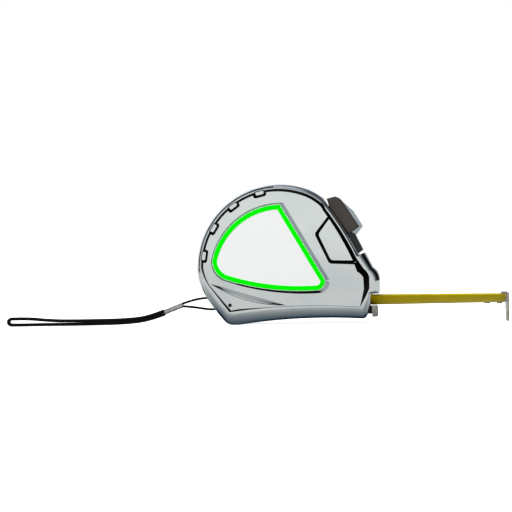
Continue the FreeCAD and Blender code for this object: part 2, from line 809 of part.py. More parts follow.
def make_reel():
    """The post that is fixed in the case, and the drum, cover, spring and tape that turn on it."""
    half_blade = size("blade_width") * HALF
    web_in = half_blade + size("flange_gap")
    web_out = web_in + size("drum_web")
    bore = size("post_radius") + size("run_clearance")
    cavity = size("case_half_width") - size("side_wall")
    post = reel_body("hub_post")
    revolve(post, [(ZERO, -cavity), (size("post_radius"), -cavity), (size("post_radius"), cavity),
                   (size("post_bore_radius"), cavity),
                   (size("post_bore_radius"), cavity - size("post_bore_depth")),
                   (ZERO, cavity - size("post_bore_depth"))])
    drum = reel_body("reel_drum")
    inner = size("drum_radius") - size("drum_wall")
    revolve(drum, [(bore, -web_out), (size("flange_radius"), -web_out),
                   (size("flange_radius"), -web_in), (size("drum_radius"), -web_in),
                   (size("drum_radius"), web_in), (inner, web_in), (inner, -web_in),
                   (bore, -web_in)])
    cover = reel_body("reel_cover")
    revolve(cover, tube_profile(bore, size("flange_radius"), web_in, web_out))
    spring = reel_body("power_spring")
    revolve(spring, tube_profile(size("spring_inner_radius"), inner - size("spring_clearance"),
                                 -(half_blade - size("flange_gap")),
                                 half_blade - size("flange_gap")))
    coil = reel_body("tape_coil")
    revolve(coil, tube_profile(size("drum_radius") + size("coil_clearance"), size("coil_radius"),
                               -half_blade, half_blade))
    return [post, drum, cover, spring, coil]


# ---------------------------------------------------------------- blade and hook

def camber_radius(camber):
    """The radius of a strip blade_width wide that is camber deep."""
    half = number("blade_width") / 2
    return (half * half + camber * camber) / (2 * camber)


def trough(x, low_z, camber, thick, half_width):
    """The cross-section of a cambered strip at x: edges up, its lowest line at low_z."""
    radius = camber_radius(camber)

    def at(y, reach):
        return Vector(x, y * reach / radius, low_z + radius - math.sqrt(
            max(reach * reach - (y * reach / radius) ** 2, 0.0)))
    inner = radius - thick
    low = Part.Arc(at(-half_width, radius), at(0, radius), at(half_width, radius))
    high = Part.Arc(at(half_width, inner), at(0, inner), at(-half_width, inner))
    ends = [Part.LineSegment(at(half_width, radius), at(half_width, inner)),
            Part.LineSegment(at(-half_width, inner), at(-half_width, radius))]
    return Part.Wire([low.toShape(), ends[0].toShape(), high.toShape(), ends[1].toShape()])


def blade_level(x):
    """The blade's lowest line and its camber at x."""
    rear, end = number("blade_rear_x"), number("blade_end_x")
    share = (x - rear) / (end - rear)
    low = number("blade_rear_z") + share * (number("blade_end_z") - number("blade_rear_z"))
    camber = number("camber_rear") + share * (number("camber_end") - number("camber_rear"))
    return low, camber


def make_blade():
    half, thick = number("blade_width") / 2, number("blade_thick")
    sections = []
    for x in (number("blade_rear_x"), number("blade_end_x")):
        sections.append(trough(x, *blade_level(x), thick, half))
    blade = Part.makeLoft(sections, True, True)
    rivets = []
    for word in ("rivet_rear_x", "rivet_front_x"):
        low = blade_level(number(word))[0]
        rivets.append(Part.makeCylinder(number("rivet_radius") + number("run_clearance"),
                                        thick * 4, Vector(number(word), 0, low - thick)))
    for hole in rivets:
        blade = blade.cut(hole)
    # The stretch between the reel and the mouth, where the tape takes its curve.
    tangent_z = number("reel_z") - number("coil_radius") - number("feed_gap") - thick
    end_z = number("blade_end_z") + thick + number("feed_end_lift")
    feed = Part.makeLoft([
        trough(number("reel_x"), tangent_z - thick, thick, thick, half),
        trough(number("feed_end_x"), end_z, number("camber_end"), thick, half)], True, True)
    return [free_feature("tape_blade", blade), free_feature("tape_feed", feed)]


def make_hook():
    """A bent steel hook: a tongue and cheeks that lie in the blade, and a tab that hangs down."""
    gap, thick = number("feed_gap"), number("blade_thick")
    inner_x, plate = number("hook_inner_x"), number("hook_thick")
    outer_x = inner_x + plate
    half = number("tab_half_width")

    def cradle(x, width, height):
        low, camber = blade_level(min(x, number("blade_end_x")))
        return trough(x, low + thick + gap, camber, height, width)
    wide, narrow = number("blade_width") / 2, number("tongue_half_width")
    saddle = Part.makeLoft([
        cradle(number("tongue_rear_x"), wide, number("tongue_thick")),
        cradle(outer_x, wide, number("tongue_thick"))], True, True)
    ceiling = number("blade_width")
    for low_y, high_y in ((-ceiling, -narrow), (narrow, ceiling)):
        saddle = saddle.cut(block((number("tongue_rear_x") - 1, low_y, 0),
                                  (number("hook_cheek_x"), high_y, ceiling)))
    top, tip, round_tip = number("tab_top_z"), number("tab_tip_half_width"), number("tab_corner")
    shoulder = top / 2
    low, camber = blade_level(number("blade_end_x"))
    low += thick + gap + number("tongue_thick") * 0.5
    radius = camber_radius(camber)
    rise = low + radius - math.sqrt(radius * radius - half * half)
    outline = [(-half, rise), (-half, shoulder), (-tip - 0.5, round_tip), (-tip + round_tip, 0.0),
               (tip - round_tip, 0.0), (tip + 0.5, round_tip), (half, shoulder), (half, rise)]
    edges = []
    for first, last in zip(outline, outline[1:]):
        start, finish = Vector(inner_x, *first), Vector(inner_x, *last)
        if {first[1], last[1]} == {0.0, round_tip}:
            middle = bulge(first, last, round_tip * 1.3)
            edges.append(Part.Arc(start, Vector(inner_x, *middle), finish).toShape())
        else:
            edges.append(Part.LineSegment(start, finish).toShape())
    edges.append(Part.Arc(Vector(inner_x, half, rise), Vector(inner_x, 0, low),
                          Vector(inner_x, -half, rise)).toShape())
    tab = Part.Face(Part.Wire(edges)).extrude(Vector(plate, 0, 0))
    hook = saddle.fuse(tab)
    rivet = number("rivet_radius") + number("run_clearance")
    for word in ("rivet_rear_x", "rivet_front_x"):
        x, play = number(word), number("hook_play") + number("run_clearance")
        slot = [(x - play, -rivet, 0.0), (x + play, -rivet, rivet), (x + play + rivet, 0.0, rivet),
                (x + play, rivet, 0.0), (x - play, rivet, rivet), (x - play - rivet, 0.0, rivet)]
        hole = Part.Face(wire(spans(slot), 0.0)).extrude(Vector(0, ceiling, 0))
        hole.rotate(Vector(0, 0, 0), Vector(1, 0, 0), 90)
        hook = hook.cut(hole)
    return free_feature("end_hook", hook.removeSplitter())


def make_rivets():
    """Two rivets in one node: each has a shank and a head under the blade and over the tongue."""
    solids = []
    for word in ("rivet_rear_x", "rivet_front_x"):
        x = number(word)
        low = blade_level(x)[0]
        head, height = number("rivet_head_radius"), number("rivet_head_height")
        above = low + number("blade_thick") + number("feed_gap") + number("tongue_thick")
        above += number("screw_clearance")
        shank = Part.makeCylinder(number("rivet_radius"), above - low + height,
                                  Vector(x, 0, low - height / 2))
        under = Part.makeCylinder(head, height, Vector(x, 0, low - height - number("rivet_gap")))
        over = Part.makeCylinder(head, height, Vector(x, 0, above))
        solids.append(shank.fuse(under).fuse(over).removeSplitter())
    return free_feature("hook_rivets", Part.Compound(solids))


# ---------------------------------------------------------------- mouth

def make_lip():
    """The steel lip under the blade and the rubber bumper between it and the case."""
    lip = new_body("mouth_lip")
    drawing = new_sketch(lip, "XZ_Plane")
    draw_outline(drawing, rectangle((size("lip_back_x"), size("lip_base_z")),
                                    (size("lip_front_x"), size("lip_top_z"))))
    plate = pad(lip, drawing, size("lip_half_width") * as_size(2))
    front = number("lip_front_x")
    rounded(lip, plate, size("lip_edge"), lambda edge: abs(edge.CenterOfMass.x - front) < 1e-3)
    bumper = new_body("hook_bumper")
    drawing = new_sketch(bumper, "XZ_Plane")
    low, high = nose_place("chin_low"), nose_place("chin_top")
    slope = (high[0].number - low[0].number) / (high[1].number - low[1].number)
    lean = Size(slope, f"(({high[0].formula} - {low[0].formula}) / ({high[1].formula} - {low[1].formula}))")
    gap = size("run_clearance")

    def wall_at(level):
        return low[0] + (level - low[1]) * lean + gap
    base, top = low[1], size("mouth_floor_z")
    draw_outline(drawing, [(wall_at(base), base), (size("lip_back_x"), base),
                           (size("lip_back_x"), top), (wall_at(top), top)])
    pad(bumper, drawing, size("lip_half_width") * as_size(2))
    return [lip, bumper]


# ---------------------------------------------------------------- lock

def lock_body(label):
    return new_body(label, size("lock_x"), ZERO, size("lock_z"), size("lock_angle"))


def make_lock():
    """The button, its cap, the track liner under it, and the slider and pad inside the case."""
    two, gap = as_size(2), size("slide_gap")
    over_track = size("track_high_rear_up") + gap
    track_side = size("track_half_width") + gap
    words = ("button_low_rear", "button_rear", "button_brow", "button_top_rear", "button_top",
             "button_top_front", "button_low_front")
    button = lock_body("lock_button")
    drawing = new_sketch(button, "XZ_Plane")
    draw_outline(drawing, [place(word) for word in reversed(words)])
    block_of_button = pad(button, drawing, size("button_half_width") * two)
    half = number("button_half_width")
    low = number("button_low_front_up") + number("button_corner")
    block_of_button = rounded(
        button, block_of_button, size("button_corner"),
        lambda edge: abs(abs(edge.CenterOfMass.y) - half) < 1e-3
        and in_lock_frame(edge.CenterOfMass)[1] > low)
    drawing = new_sketch(button, "YZ_Plane")
    draw_outline(drawing, rectangle((-track_side, -size("wall")), (track_side, over_track)))
    pocket(button, drawing, size("flange_radius") * two)

    cap = lock_body("button_cap")
    drawing = new_sketch(cap, "XZ_Plane")
    words = ("cap_rear", "cap_top", "cap_corner", "cap_low", "cap_inner_low", "cap_inner")
    outline = [place(word) for word in reversed(words)]
    draw_outline(drawing, outline)
    pad(cap, drawing, size("button_half_width") * two - size("button_corner") * two)
    drawing = new_sketch(cap, "YZ_Plane")
    draw_outline(drawing, rectangle((-track_side, -size("wall")), (track_side, over_track)))
    pocket(cap, drawing, size("flange_radius") * two)

    slider = lock_body("lock_slider")
    drawing = new_sketch(slider, "XZ_Plane")
    draw_outline(drawing, rectangle((size("plate_rear"), size("plate_base")),
                                    (size("plate_front"), size("plate_top"))))
    pad(slider, drawing, size("plate_half_width") * two)
    drawing = new_sketch(slider, "XZ_Plane")
    draw_outline(drawing, rectangle((size("stem_rear"), size("plate_base")),
                                    (size("stem_front"), over_track)))
    pad(slider, drawing, size("stem_half_width") * two)
    drawing = new_sketch(slider, "XZ_Plane")
    words = ("leg_top_rear", "leg_elbow_rear", "leg_tip_rear", "leg_tip_front", "leg_elbow",
             "leg_top_front")
    draw_outline(drawing, [place(word) for word in words])
    pad(slider, drawing, size("leg_half_width") * two)

    brake = new_body("brake_pad")
    drawing = new_sketch(brake, "YZ_Plane", size("pad_rear_x"))
    wide, foot, arch = size("pad_half_width"), size("pad_foot_width"), size("pad_arch_width")
    right_side = [(arch, size("pad_arch_z")), (foot, size("pad_foot_z")),
                  (wide, size("pad_flank_z")), (wide, size("pad_top_z"))]
    draw_outline(drawing, right_side + [(-y, z) for y, z in reversed(right_side)])
    feature = brake.newObject("PartDesign::Pad", "brake_pad_pad")
    feature.Profile = drawing
    feature.setExpression("Length", (size("pad_front_x") - size("pad_rear_x")).formula)
    return [button, cap, slider, brake]


def in_lock_frame(point):
    """(along, out) of a point of a body that is drawn in the lock's own frame."""
    return point.x, point.z


def make_track_liner():
    """The black liner on the lowered slope: its underside follows the case."""
    gap = number("run_clearance")
    corners = [corner(place(word)) for word in ("track_high_rear", "track_high_mid",
                                                "track_high_front")]
    deep = -number("crown_depth") * 2
    outline = [(corners[0][0], deep, 0.0), (corners[2][0] + 0.35, deep, 0.0)]
    outline += [corners[2], corners[1], corners[0]]
    half = number("track_half_width")
    liner = lock_frame(prism(outline, -half, half))
    case = Part.Face(wire(spans(case_outline()), 0.0)).makeOffset2D(gap, 2, False, False, True)
    case.translate(Vector(0, -half - 1, 0))
    liner = liner.cut(case.extrude(Vector(0, 2 * half + 2, 0)))
    stem, room = number("stem_half_width") + number("slide_gap"), number("slide_gap")
    channel = block((number("stem_rear") - room, -stem, deep),
                    (number("stem_front") + number("lock_travel") + room, stem, -deep))
    liner = liner.cut(lock_frame(channel))
    return free_feature("track_liner", liner)


# ---------------------------------------------------------------- fasteners

def screw(x, z, seat_y, length):
    """A pan-head screw with a cross, its head's underside at seat_y and its shank towards -Y."""
    head, height = number("screw_head_radius"), number("screw_head_height")
    solid = across(x, z, number("screw_radius"), seat_y - length, seat_y)
    solid = solid.fuse(across(x, z, head, seat_y, seat_y + height))
    low, high = seat_y + height - number("cross_depth"), seat_y + height + 1
    wide, long = number("cross_width") / 2, number("cross_length") / 2
    solid = solid.cut(block((x - wide, low, z - long), (x + wide, high, z + long)))
    return solid.cut(block((x - long, low, z - wide), (x + long, high, z + wide)))


def make_screws():
    seat = number("case_half_width") - number("head_depth")
    solids = [screw(*plain(place(word)), seat, number("screw_length")) for word in SCREW_PLACES]
    clip_seat = number("case_half_width") + number("clip_thick")
    depth = number("side_wall") + number("clip_thick") + number("post_bore_depth") - 2
    centre = screw(number("reel_x"), number("reel_z"), clip_seat, depth)
    return [free_feature("case_screws", Part.Compound(solids)), free_feature("clip_screw", centre)]


# ---------------------------------------------------------------- belt clip

def make_clip():
    """A bent strip of spring steel: a base under the screw, a bend at the top and a long leg."""
    face, thick, gap = size("case_half_width"), size("clip_thick"), size("clip_gap")
    inner, outer = face + thick, face + thick + gap
    bend, half_gap = size("clip_top_z"), gap * HALF
    flare = size("clip_flare")
    clip = new_body("belt_clip", (size("clip_rear_x") + size("clip_front_x")) * HALF)
    drawing = new_sketch(clip, "YZ_Plane")
    middle_y, big = inner + half_gap, half_gap + thick
    draw_outline(drawing, [
        (face, size("clip_base_z")), (inner, size("clip_base_z")),
        (inner, bend, -half_gap), (middle_y, bend + half_gap, -half_gap),
        (outer, bend), (outer, size("clip_flare_z")),
        (outer + flare, size("clip_low_z")), (outer + flare + thick, size("clip_low_z")),
        (outer + thick, size("clip_flare_z")), (outer + thick, bend, big),
        (middle_y, bend + big, big), (face, bend)])
    pad(clip, drawing, size("clip_front_x") - size("clip_rear_x"))
    drawing = new_sketch(clip, "XZ_Plane")
    middle = (size("reel_x") - (size("clip_rear_x") + size("clip_front_x")) * HALF, size("reel_z"))
    draw_circle(drawing, middle, size("screw_radius") + size("screw_clearance"))
    pocket(clip, drawing, (face + thick * HALF + thick) * as_size(2))
    drawing = new_sketch(clip, "XZ_Plane", -(outer + thick * as_size(2)))
    draw_circle(drawing, middle, size("clip_access_radius"))
    pocket(clip, drawing, gap, symmetric=True)
    return clip


# ---------------------------------------------------------------- wrist strap

# Route of the thin cord, as (x, z), from the ferrule through the heel slot, round the pin and back.
CORD_UPPER = [(-23.5, 8.95), (-19.9, 10.15), (-16.0, 11.0), (-12.1, 11.3), (-8.6, 11.15),
              (-5.5, 10.6), (-3.3, 9.95)]
CORD_LOWER = [(-3.2, 6.9), (-5.3, 6.7), (-8.4, 6.5), (-11.7, 6.25), (-15.2, 6.8), (-18.9, 7.4),
              (-22.85, 7.78)]
# Route of one layer of the flat strap from the ferrule to its loop end, as (x, z).
STRAP_UPPER = [(-31.6, 6.0), (-36.6, 4.3), (-42.3, 3.05), (-50.5, 2.55), (-60.2, 2.5),
               (-70.1, 2.35), (-80.0, 2.6), (-87.6, 3.2), (-92.6, 3.35), (-95.6, 3.3)]
STRAP_LOWER = [(-95.5, 0.72), (-92.4, 0.7), (-87.4, 0.74), (-79.8, 0.8), (-70.0, 0.72),
               (-60.1, 0.84), (-50.3, 0.92), (-42.0, 1.5), (-36.2, 2.8), (-31.1, 4.6)]
STRAP_FOLD_X = -97.2


def smooth_route(points, share=0.45):
    """Straight runs joined by tangent arcs, each as large as its runs allow."""
    edges, radii = [], []
    place_now = points[0]
    for before, here, after in zip(points, points[1:], points[2:]):
        into, out = (here - before), (after - here)
        shorter = min(into.Length, out.Length)
        half_turn = into.getAngle(out) / 2
        reach = share * shorter
        radii.append(reach / math.tan(half_turn))
        into.normalize()
        out.normalize()
        start, finish = here - into * reach, here + out * reach
        towards = (out - into).normalize()
        centre = start + (towards - into * towards.dot(into)).normalize() * radii[-1]
        middle = centre + (here - centre).normalize() * radii[-1]
        edges.append(Part.LineSegment(place_now, start).toShape())
        edges.append(Part.Arc(start, middle, finish).toShape())
        place_now = finish
    edges.append(Part.LineSegment(place_now, points[-1]).toShape())
    return Part.Wire(edges), radii


def fold(centre, radius, first, last, count=3):
    """Corner points of a tight turn round a pin, from one angle to another."""
    step = (last - first) / count
    reach = radius / math.cos(math.radians(abs(step)) / 2)
    return [polar(centre, reach, first + step * (index + 0.5)) for index in range(count)]


def report_cord(label, route, radii, volume, section):
    print(f"{label}: length {route.Length:.1f} mm, radii "
          + " ".join(f"{radius:.1f}" for radius in radii)
          + f", volume over section times length {volume / (section * route.Length):.4f}")


def make_cord():
    """The thin cord that holds the strap: a loop through the heel slot and round the pin."""
    radius = number("cord_diameter") / 2
    centre = (number("strap_pin_x"), number("strap_pin_z"))
    around = fold(centre, number("cord_fold_radius"), 90, -90)
    flat = CORD_UPPER + around + CORD_LOWER
    path, radii = smooth_route([Vector(x, 0, z) for x, z in flat])
    first = (path.Edges[0].Vertexes[1].Point - path.Edges[0].Vertexes[0].Point).normalize()
    ring = Part.Wire(Part.makeCircle(radius, path.Edges[0].Vertexes[0].Point, first))
    tube = path.makePipeShell([ring], True, False)
    report_cord("strap_cord", path, radii, tube.Volume, math.pi * radius * radius)
    return free_feature("strap_cord", tube)


def make_strap():
    """The flat strap: it leaves the ferrule, folds back on itself and returns to the ferrule."""
    centre_z = (STRAP_UPPER[-1][1] + STRAP_LOWER[0][1]) / 2
    bend = (STRAP_UPPER[-1][1] - STRAP_LOWER[0][1]) / 2
    around = fold((STRAP_FOLD_X, centre_z), bend, 90, 270)
    flat = STRAP_UPPER + around + STRAP_LOWER
    path, radii = smooth_route([Vector(x, 0, z) for x, z in flat])
    half, wide = number("strap_thick") / 2, number("strap_width") / 2
    start = path.Edges[0].Vertexes[0].Point
    along = (path.Edges[0].Vertexes[1].Point - start).normalize()
    up = along.cross(Y_AXIS)
    corners = [start + up * a * half + Y_AXIS * b * wide for a, b in ((1, 1), (1, -1), (-1, -1),
                                                                      (-1, 1), (1, 1))]
    band = path.makePipeShell([Part.makePolygon(corners)], True, False)
    report_cord("wrist_strap", path, radii, band.Volume, 4 * half * wide)
    return free_feature("wrist_strap", band)


def make_ferrule():
    """The crimped sleeve between the cord and the strap."""
    rear, front = Vector(-31.2, 0, 5.35), Vector(-23.35, 0, 8.4)
    middle, along = (rear + front) * 0.5, (front - rear).normalize()
    half = number("ferrule_length") / 2
    wide, high = number("ferrule_half_width"), number("ferrule_half_height")
    sleeve = block((-half, -wide, -high), (half, wide, high))
    long_edges = [edge for edge in sleeve.Edges if edge.Length > half * 1.9]
    sleeve = sleeve.makeFillet(high * 0.9, long_edges)
    turn = FreeCAD.Rotation(Vector(1, 0, 0), along)
    return free_feature("strap_ferrule", sleeve, FreeCAD.Placement(middle, turn))


def make_strap_pin():
    """The steel pin across the heel; its ends sit just under the flat faces."""
    pin = new_body("strap_pin", size("strap_pin_x"), ZERO, size("strap_pin_z"))
    drawing = new_sketch(pin, "XZ_Plane")
    draw_circle(drawing, (ZERO, ZERO), size("strap_pin_radius"))
    pad(pin, drawing, (size("case_half_width") - size("face_step") * HALF) * as_size(2))
    return pin


# ---------------------------------------------------------------- build, check and write

def main():
    pieces = make_shells() + make_label() + make_reel() + make_blade()
    pieces += [make_hook(), make_rivets()] + make_lip() + make_lock() + [make_track_liner()]
    pieces += make_screws() + [make_clip(), make_cord(), make_ferrule(), make_strap()]
    pieces.append(make_strap_pin())
    doc.recompute()
    for item in doc.Objects:
        for word in ("Invalid", "Error"):
            if word in item.State:
                raise RuntimeError(f"{item.Label} is {item.State}")
    os.makedirs("parts", exist_ok=True)
    for piece in pieces:
        if piece.Shape.isNull() or not piece.Shape.isValid():
            raise RuntimeError(f"{piece.Label} has no valid shape")
    for piece in pieces:
        piece.Shape.exportStep(f"parts/{piece.Label}.step")
        box = piece.Shape.BoundBox
        print(f"{piece.Label}: {len(piece.Shape.Solids)} solid, {piece.Shape.Volume:.1f} mm3, "
              f"x {box.XMin:.2f} {box.XMax:.2f}, y {box.YMin:.2f} {box.YMax:.2f}, "
              f"z {box.ZMin:.2f} {box.ZMax:.2f}")


main()
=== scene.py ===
# %% [markdown]
# # A pocket tape measure, dressed for its portrait
# The drawing program has already made every piece of this tape measure to size. This
# lesson gives the pieces their finishes, remakes the ones that a drawing program makes
# too plainly, such as the cord, the strap and the printed scale, and sets up a small
# studio. Everything is in metres, and one frame is shared with the drawing: X runs out
# along the blade, Z is up, and the label faces -Y.

# %% Load the drawn model
import json
import math

import bmesh
import bpy
from mathutils import Matrix, Vector


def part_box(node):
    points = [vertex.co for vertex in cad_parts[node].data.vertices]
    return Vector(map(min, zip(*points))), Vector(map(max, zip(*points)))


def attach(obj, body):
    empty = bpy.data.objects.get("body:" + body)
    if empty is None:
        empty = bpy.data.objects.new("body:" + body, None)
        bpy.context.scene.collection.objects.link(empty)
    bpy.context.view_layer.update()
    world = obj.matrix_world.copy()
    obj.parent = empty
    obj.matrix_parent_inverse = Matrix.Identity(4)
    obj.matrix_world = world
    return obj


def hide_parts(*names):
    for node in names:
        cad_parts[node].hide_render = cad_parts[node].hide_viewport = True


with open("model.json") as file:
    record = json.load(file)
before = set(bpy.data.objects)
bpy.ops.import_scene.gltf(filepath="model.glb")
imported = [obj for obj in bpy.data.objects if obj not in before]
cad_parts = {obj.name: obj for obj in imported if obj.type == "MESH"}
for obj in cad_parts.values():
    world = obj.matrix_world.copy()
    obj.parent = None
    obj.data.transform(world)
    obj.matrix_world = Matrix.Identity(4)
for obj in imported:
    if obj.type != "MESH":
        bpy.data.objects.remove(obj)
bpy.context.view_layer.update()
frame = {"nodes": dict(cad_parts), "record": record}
MM = 0.001

# %% [markdown]
# The camera comes first, because it decides what the light has to do. The tool is seen
# square on to its label, from far away with a long lens, so its outline is hardly
# distorted. The camera sits a touch to the hook's side and is tipped by less than a degree.

# %% Camera
LOOK_AT = Vector((8.9, -12.0, 28.8)) * MM
CAMERA_DISTANCE = 880 * MM
SEEN_WIDTH = 214.5 * MM         # how much of the object's length the camera takes in
SENSOR_WIDTH = 36.0             # Blender counts sensors and lenses in millimetres
NEAREST, FARTHEST = 0.01, 20.0
SIDE_TURN, RISE, TIP = math.radians(4.0), math.radians(0.3), math.radians(0.873)


def aim_camera(side_turn, rise, tip):
    """A camera that looks at LOOK_AT: turned about Z, raised, and tipped about its own axis."""
    forward = Vector((-math.sin(side_turn) * math.cos(rise),
                      math.cos(side_turn) * math.cos(rise), -math.sin(rise)))
    right = forward.cross(Vector((0, 0, 1))).normalized()
    up = right.cross(forward)
    tipped_right = right * math.cos(tip) - up * math.sin(tip)
    tipped_up = up * math.cos(tip) + right * math.sin(tip)
    turn = Matrix((tipped_right, tipped_up, -forward)).transposed()
    camera = bpy.data.objects.new("camera", bpy.data.cameras.new("camera"))
    bpy.context.scene.collection.objects.link(camera)
    camera.matrix_world = (Matrix.Translation(LOOK_AT - forward * CAMERA_DISTANCE)
                           @ turn.to_4x4())
    camera.data.sensor_width = SENSOR_WIDTH
    camera.data.lens = SENSOR_WIDTH / 2 / (SEEN_WIDTH / 2 / CAMERA_DISTANCE)
    camera.data.clip_start, camera.data.clip_end = NEAREST, FARTHEST
    return camera


camera = aim_camera(SIDE_TURN, RISE, TIP)
bpy.context.scene.camera = camera
bpy.context.scene.view_settings.view_transform = "Standard"
print("lens:", round(camera.data.lens, 1), "mm")

# %% [markdown]
# Cords come next. A braided nylon cord is tied through the heel of the case, and a
# crimped sleeve joins it to a flat woven strap. A cord is one smooth curve, so it is a
# NURBS spline of order 3 whose control points are the corners of its route. The order is
# set after the points are added: set before, it would fall back to straight runs.

# %% Routes of the cord and the strap
CORD_ROUTE = [                  # X and Z in millimetres
    (-23.5, 8.95), (-19.9, 10.15), (-16.0, 11.0), (-12.1, 11.3), (-8.6, 11.15), (-5.5, 10.6),
    (-3.3, 9.95), (-1.22, 9.75), (-0.44, 8.4), (-1.22, 7.05), (-3.2, 6.9), (-5.3, 6.7),
    (-8.4, 6.5), (-11.7, 6.25), (-15.2, 6.8), (-18.9, 7.4), (-23.9, 7.85)]
STRAP_ROUTE = [
    (-31.6, 5.93), (-36.6, 4.06), (-42.3, 2.84), (-50.5, 2.3), (-60.2, 2.22), (-70.1, 2.18),
    (-80.0, 2.35), (-87.6, 3.15), (-92.6, 3.35), (-95.6, 3.3), (-97.945, 3.3), (-98.69, 2.01),
    (-97.945, 0.72), (-95.5, 0.72), (-92.4, 0.7), (-87.4, 0.74), (-79.8, 0.8), (-70.0, 0.72),
    (-60.1, 0.84), (-50.3, 0.92), (-42.0, 1.5), (-36.2, 2.8), (-31.1, 4.6)]
CORD_THICKNESS = 1.05 * MM
STRAP_WIDTH = 4.0 * MM
STRAP_THICKNESS = 1.4 * MM


def smooth_spline(name, route):
    """One open NURBS spline whose control points are the route's corners."""
    curve = bpy.data.curves.new(name, "CURVE")
    curve.dimensions = "3D"
    spline = curve.splines.new("NURBS")
    spline.points.add(len(route) - 1)
    for point, (x, z) in zip(spline.points, route):
        point.co = (x * MM, 0, z * MM, 1)
    spline.order_u = 3
    spline.use_endpoint_u = True
    spline.resolution_u = 8
    made = bpy.data.objects.new(name, curve)
    bpy.context.scene.collection.objects.link(made)
    return made


def read_path(spline_object):
    """The points of a spline, in order, as Blender itself evaluates them."""
    bpy.context.view_layer.update()
    mesh = bpy.data.meshes.new_from_object(spline_object)
    points = [vertex.co.copy() for vertex in mesh.vertices]
    bpy.data.meshes.remove(mesh)
    return points


def path_length(points):
    return sum((b - a).length for a, b in zip(points, points[1:]))


cord_spline = smooth_spline("cord_line", CORD_ROUTE)
strap_spline = smooth_spline("strap_line", STRAP_ROUTE)
cord_path, strap_path = read_path(cord_spline), read_path(strap_spline)
for spline_object in (cord_spline, strap_spline):
    bpy.data.objects.remove(spline_object)
print("cord", round(path_length(cord_path) / MM, 1), "mm; strap",
      round(path_length(strap_path) / MM, 1), "mm; points", len(cord_path), len(strap_path))

# %% [markdown]
# A cord and a strap are the same thing to a modeller: a small outline carried along a
# path. The helpers below lay a ring of points at each step, join the rings with faces,
# close both ends, and write a UV map in real millimetres, so that a weave can follow every
# bend at its true size.

# %% Rings and the mesh that they make
ACROSS = Vector((0, 1, 0))


def link_mesh(name, mesh):
    made = bpy.data.objects.new(name, mesh)
    bpy.context.scene.collection.objects.link(made)
    return made


def finish_build(name, build):
    """Turn a bmesh into an object of the scene."""
    mesh = bpy.data.meshes.new(name)
    build.to_mesh(mesh)
    build.free()
    return link_mesh(name, mesh)


def join_rings(build, rings):
    """Smooth faces between neighbouring rings and a flat cap at each end.

    Gives each side face with its row and its place in the ring.
    """
    sides = []
    for row, (ring, following) in enumerate(zip(rings, rings[1:])):
        for index in range(len(ring)):
            after = (index + 1) % len(ring)
            face = build.faces.new((ring[index], ring[after], following[after], following[index]))
            face.smooth = True
            sides.append((face, row, index))
    build.faces.new(list(reversed(rings[0])))
    build.faces.new(rings[-1])
    return sides


def running_total(points):
    """How far each point is from the first, along the way."""
    total = [0.0]
    for a, b in zip(points, points[1:]):
        total.append(total[-1] + math.dist(a, b))
    return total


print("helpers for rings ready")

# %% Sweep an outline along a path


def sweep(name, path, outline):
    """Carry an outline, (across, up) pairs, along a path that lies in the XZ plane."""
    build = bmesh.new()
    uv = build.loops.layers.uv.new("weave")
    rings = []
    for index, centre in enumerate(path):
        ahead = path[min(index + 1, len(path) - 1)]
        behind = path[max(index - 1, 0)]
        up = (ahead - behind).normalized().cross(ACROSS)
        rings.append([build.verts.new(centre + ACROSS * y + up * z) for y, z in outline])
    travelled, girth = running_total(path), running_total(outline + outline[:1])
    for face, row, index in join_rings(build, rings):
        corners = ((row, index), (row, index + 1), (row + 1, index + 1), (row + 1, index))
        for loop, (along, around) in zip(face.loops, corners):
            loop[uv].uv = (travelled[along] / MM, girth[around] / MM)
    bmesh.ops.recalc_face_normals(build, faces=build.faces)
    return finish_build(name, build)


def round_outline(radius, count):
    step = 2 * math.pi / count
    return [(radius * math.cos(step * k), radius * math.sin(step * k)) for k in range(count)]


def soft_bar_outline(width, thickness, per_corner=5, power=3.2):
    """A flattened oval: straight on its broad sides and full at its edges."""
    points = []
    count = per_corner * 8
    for k in range(count):
        turn = 2 * math.pi * k / count
        c, s = math.cos(turn), math.sin(turn)
        points.append((math.copysign(abs(c) ** (2 / power), c) * width / 2,
                       math.copysign(abs(s) ** (2 / power), s) * thickness / 2))
    return points


cord = sweep("heel_cord", cord_path, round_outline(CORD_THICKNESS / 2, 14))
strap = sweep("woven_strap", strap_path, soft_bar_outline(STRAP_WIDTH, STRAP_THICKNESS))
print("cord faces", len(cord.data.polygons), "strap faces", len(strap.data.polygons))

# %% [markdown]
# The sleeve is a short steel tube that a tool has squeezed round the cord and the
# strap. Its outline changes along its length: full at the mouths, pinched in the middle
# by two crimps. It is made of rings in the same way as the sweep, but each ring has a
# width and a height of its own.

# %% Crimped sleeve
SLEEVE_REAR, SLEEVE_FRONT = Vector((-31.2, 0, 5.35)) * MM, Vector((-23.35, 0, 8.4)) * MM
SLEEVE_WIDTH, SLEEVE_HEIGHT = 4.6 * MM, 2.25 * MM
SLEEVE_STEPS = 40
CRIMPS = (0.3, 0.7)             # these, and all below, are shares of the length or the size
CRIMP_SPREAD, MOUTH_SPREAD = 0.075, 0.03
CRIMP_WIDENS, CRIMP_FLATTENS = 0.02, 0.09
MOUTH_NARROWS, MOUTH_FLATTENS = 0.05, 0.08


